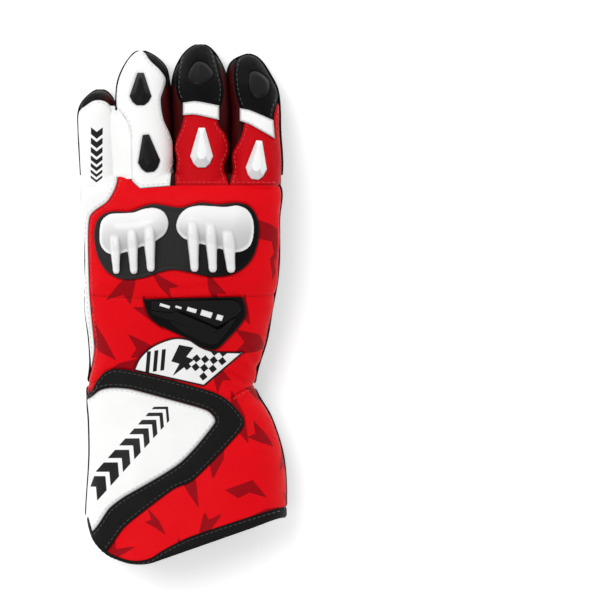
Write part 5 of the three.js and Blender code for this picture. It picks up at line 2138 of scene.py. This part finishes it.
class GLOVE_OT_stitches(bpy.types.Operator):
    """Sews a row of stitches beside each seam listed in the stitch rows"""

    bl_idname = "glove.stitches"
    bl_label = "Stitches"

    def execute(self, context):
        sizes = context.scene.glove_leather
        surface = Surface()
        sewn = {name: [] for name in THREADS}
        for row in STITCH_ROWS:
            closed = row.line not in OPEN_LINES
            line = offset_line(LINES[row.line], row.inward, closed)
            middles, ways = evenly(line, closed, sizes.stitch_pitch)
            for middle, way in zip(middles, ways):
                half = way * sizes.stitch_length / 2
                first = surface.at(*(middle - half), row.under)
                last = surface.at(*(middle + half), row.under)
                if not first or not last or first[0] != row.on or last[0] != row.on:
                    continue
                up = first[2] + last[2]
                up /= np.linalg.norm(up)
                span = np.linalg.norm(last[1] - first[1])
                if abs(up[2]) > STEEPEST_STITCH and span < sizes.stitch_length * LONGEST_STITCH:
                    sewn[row.thread].append((first[1], last[1], up))
        for name, ends in sewn.items():
            tint, slot = THREADS[name]
            material = thread_material(name.capitalize() + " thread", tint)
            thread_mesh(name + "_stitches", ends, material.name, slot)
        return {"FINISHED"}


class GLOVE_OT_stage(bpy.types.Operator):
    """Sets the floor, the lights and the camera"""

    bl_idname = "glove.stage"
    bl_label = "Stage"

    def execute(self, context):
        sizes = context.scene.glove_stage
        bpy.ops.object.select_all(action="DESELECT")
        bpy.ops.mesh.primitive_plane_add(size=sizes.floor_size, location=(0, 0, -0.0004))
        floor = bpy.context.object
        floor.name = "floor"
        material, shader, n, place = new_material(
            "Floor", grey(0.96), 0.9, Specular_IOR_Level=0.1, Emission_Color=grey(1),
            Emission_Strength=sizes.floor_glow)
        tone = n.mix(n.noise(place, 3), grey(0.955), grey(0.965))
        n.link(tone, shader.inputs["Base Color"])
        floor.data.materials.append(material)
        floor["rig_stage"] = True
        self.lights(context, sizes)
        camera = bpy.data.cameras.new("Camera")
        camera.sensor_width = SENSOR_WIDTH
        distance = sizes.camera_height - sizes.frame_centre[2]
        camera.lens = camera.sensor_width * distance / sizes.frame_width
        camera.clip_end = 100
        viewer = bpy.data.objects.new("Camera", camera)
        viewer.location = (sizes.frame_centre[0], sizes.frame_centre[1], sizes.camera_height)
        context.scene.collection.objects.link(viewer)
        context.scene.camera = viewer
        context.scene.view_settings.view_transform = "Standard"
        return {"FINISHED"}

    def lights(self, context, sizes):
        sun = bpy.data.lights.new("Key", "SUN")
        sun.energy = sizes.sun
        sun.angle = math.radians(35)
        lamp = bpy.data.objects.new("Key", sun)
        lamp.rotation_euler = Euler((math.radians(-20), math.radians(-22), 0))
        context.scene.collection.objects.link(lamp)
        world = context.scene.world or bpy.data.worlds.new("World")
        context.scene.world = world
        world.use_nodes = True
        sky = world.node_tree.nodes["Background"]
        sky.inputs["Color"].default_value = (1, 1, 1, 1)
        sky.inputs["Strength"].default_value = sizes.sky


PIECE_STEPS = [
    GLOVE_OT_leather_panels, GLOVE_OT_thumb, GLOVE_OT_finger_bridge, GLOVE_OT_cuff_binding,
    GLOVE_OT_cuff_flap, GLOVE_OT_wrist_badge, GLOVE_OT_finger_bands, GLOVE_OT_knuckle_guard,
    GLOVE_OT_wrist_plate, GLOVE_OT_finger_drops, GLOVE_OT_piping, GLOVE_OT_stitches, GLOVE_OT_stage,
]


class GLOVE_PT_sidebar(bpy.types.Panel):
    """Lists the glove's sizes, colours and pieces."""

    bl_label = "Racing glove"
    bl_idname = "GLOVE_PT_sidebar"
    bl_space_type = "VIEW_3D"
    bl_region_type = "UI"
    bl_category = "Glove"

    def draw(self, context):
        scene = context.scene
        for sizes in (scene.glove_leather, scene.glove_colours, scene.glove_stage):
            box = self.layout.box()
            for key in sizes.__annotations__:
                box.prop(sizes, key)
        for step in PIECE_STEPS:
            self.layout.operator(step.bl_idname)


SETTINGS = {
    "glove_leather": LeatherSizes, "glove_colours": GloveColours, "glove_stage": StageSizes,
}
CLASSES = [*SETTINGS.values(), *PIECE_STEPS, GLOVE_PT_sidebar]


def register():
    for cls in CLASSES:
        bpy.utils.register_class(cls)
    for name, settings in SETTINGS.items():
        setattr(bpy.types.Scene, name, bpy.props.PointerProperty(type=settings))


def unregister():
    for name in SETTINGS:
        delattr(bpy.types.Scene, name)
    for cls in reversed(CLASSES):
        bpy.utils.unregister_class(cls)


def main():
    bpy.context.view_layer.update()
    register()
    for step in PIECE_STEPS:
        area, name = step.bl_idname.split(".")
        getattr(getattr(bpy.ops, area), name)()
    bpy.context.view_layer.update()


if __name__ == "__main__":
    main()
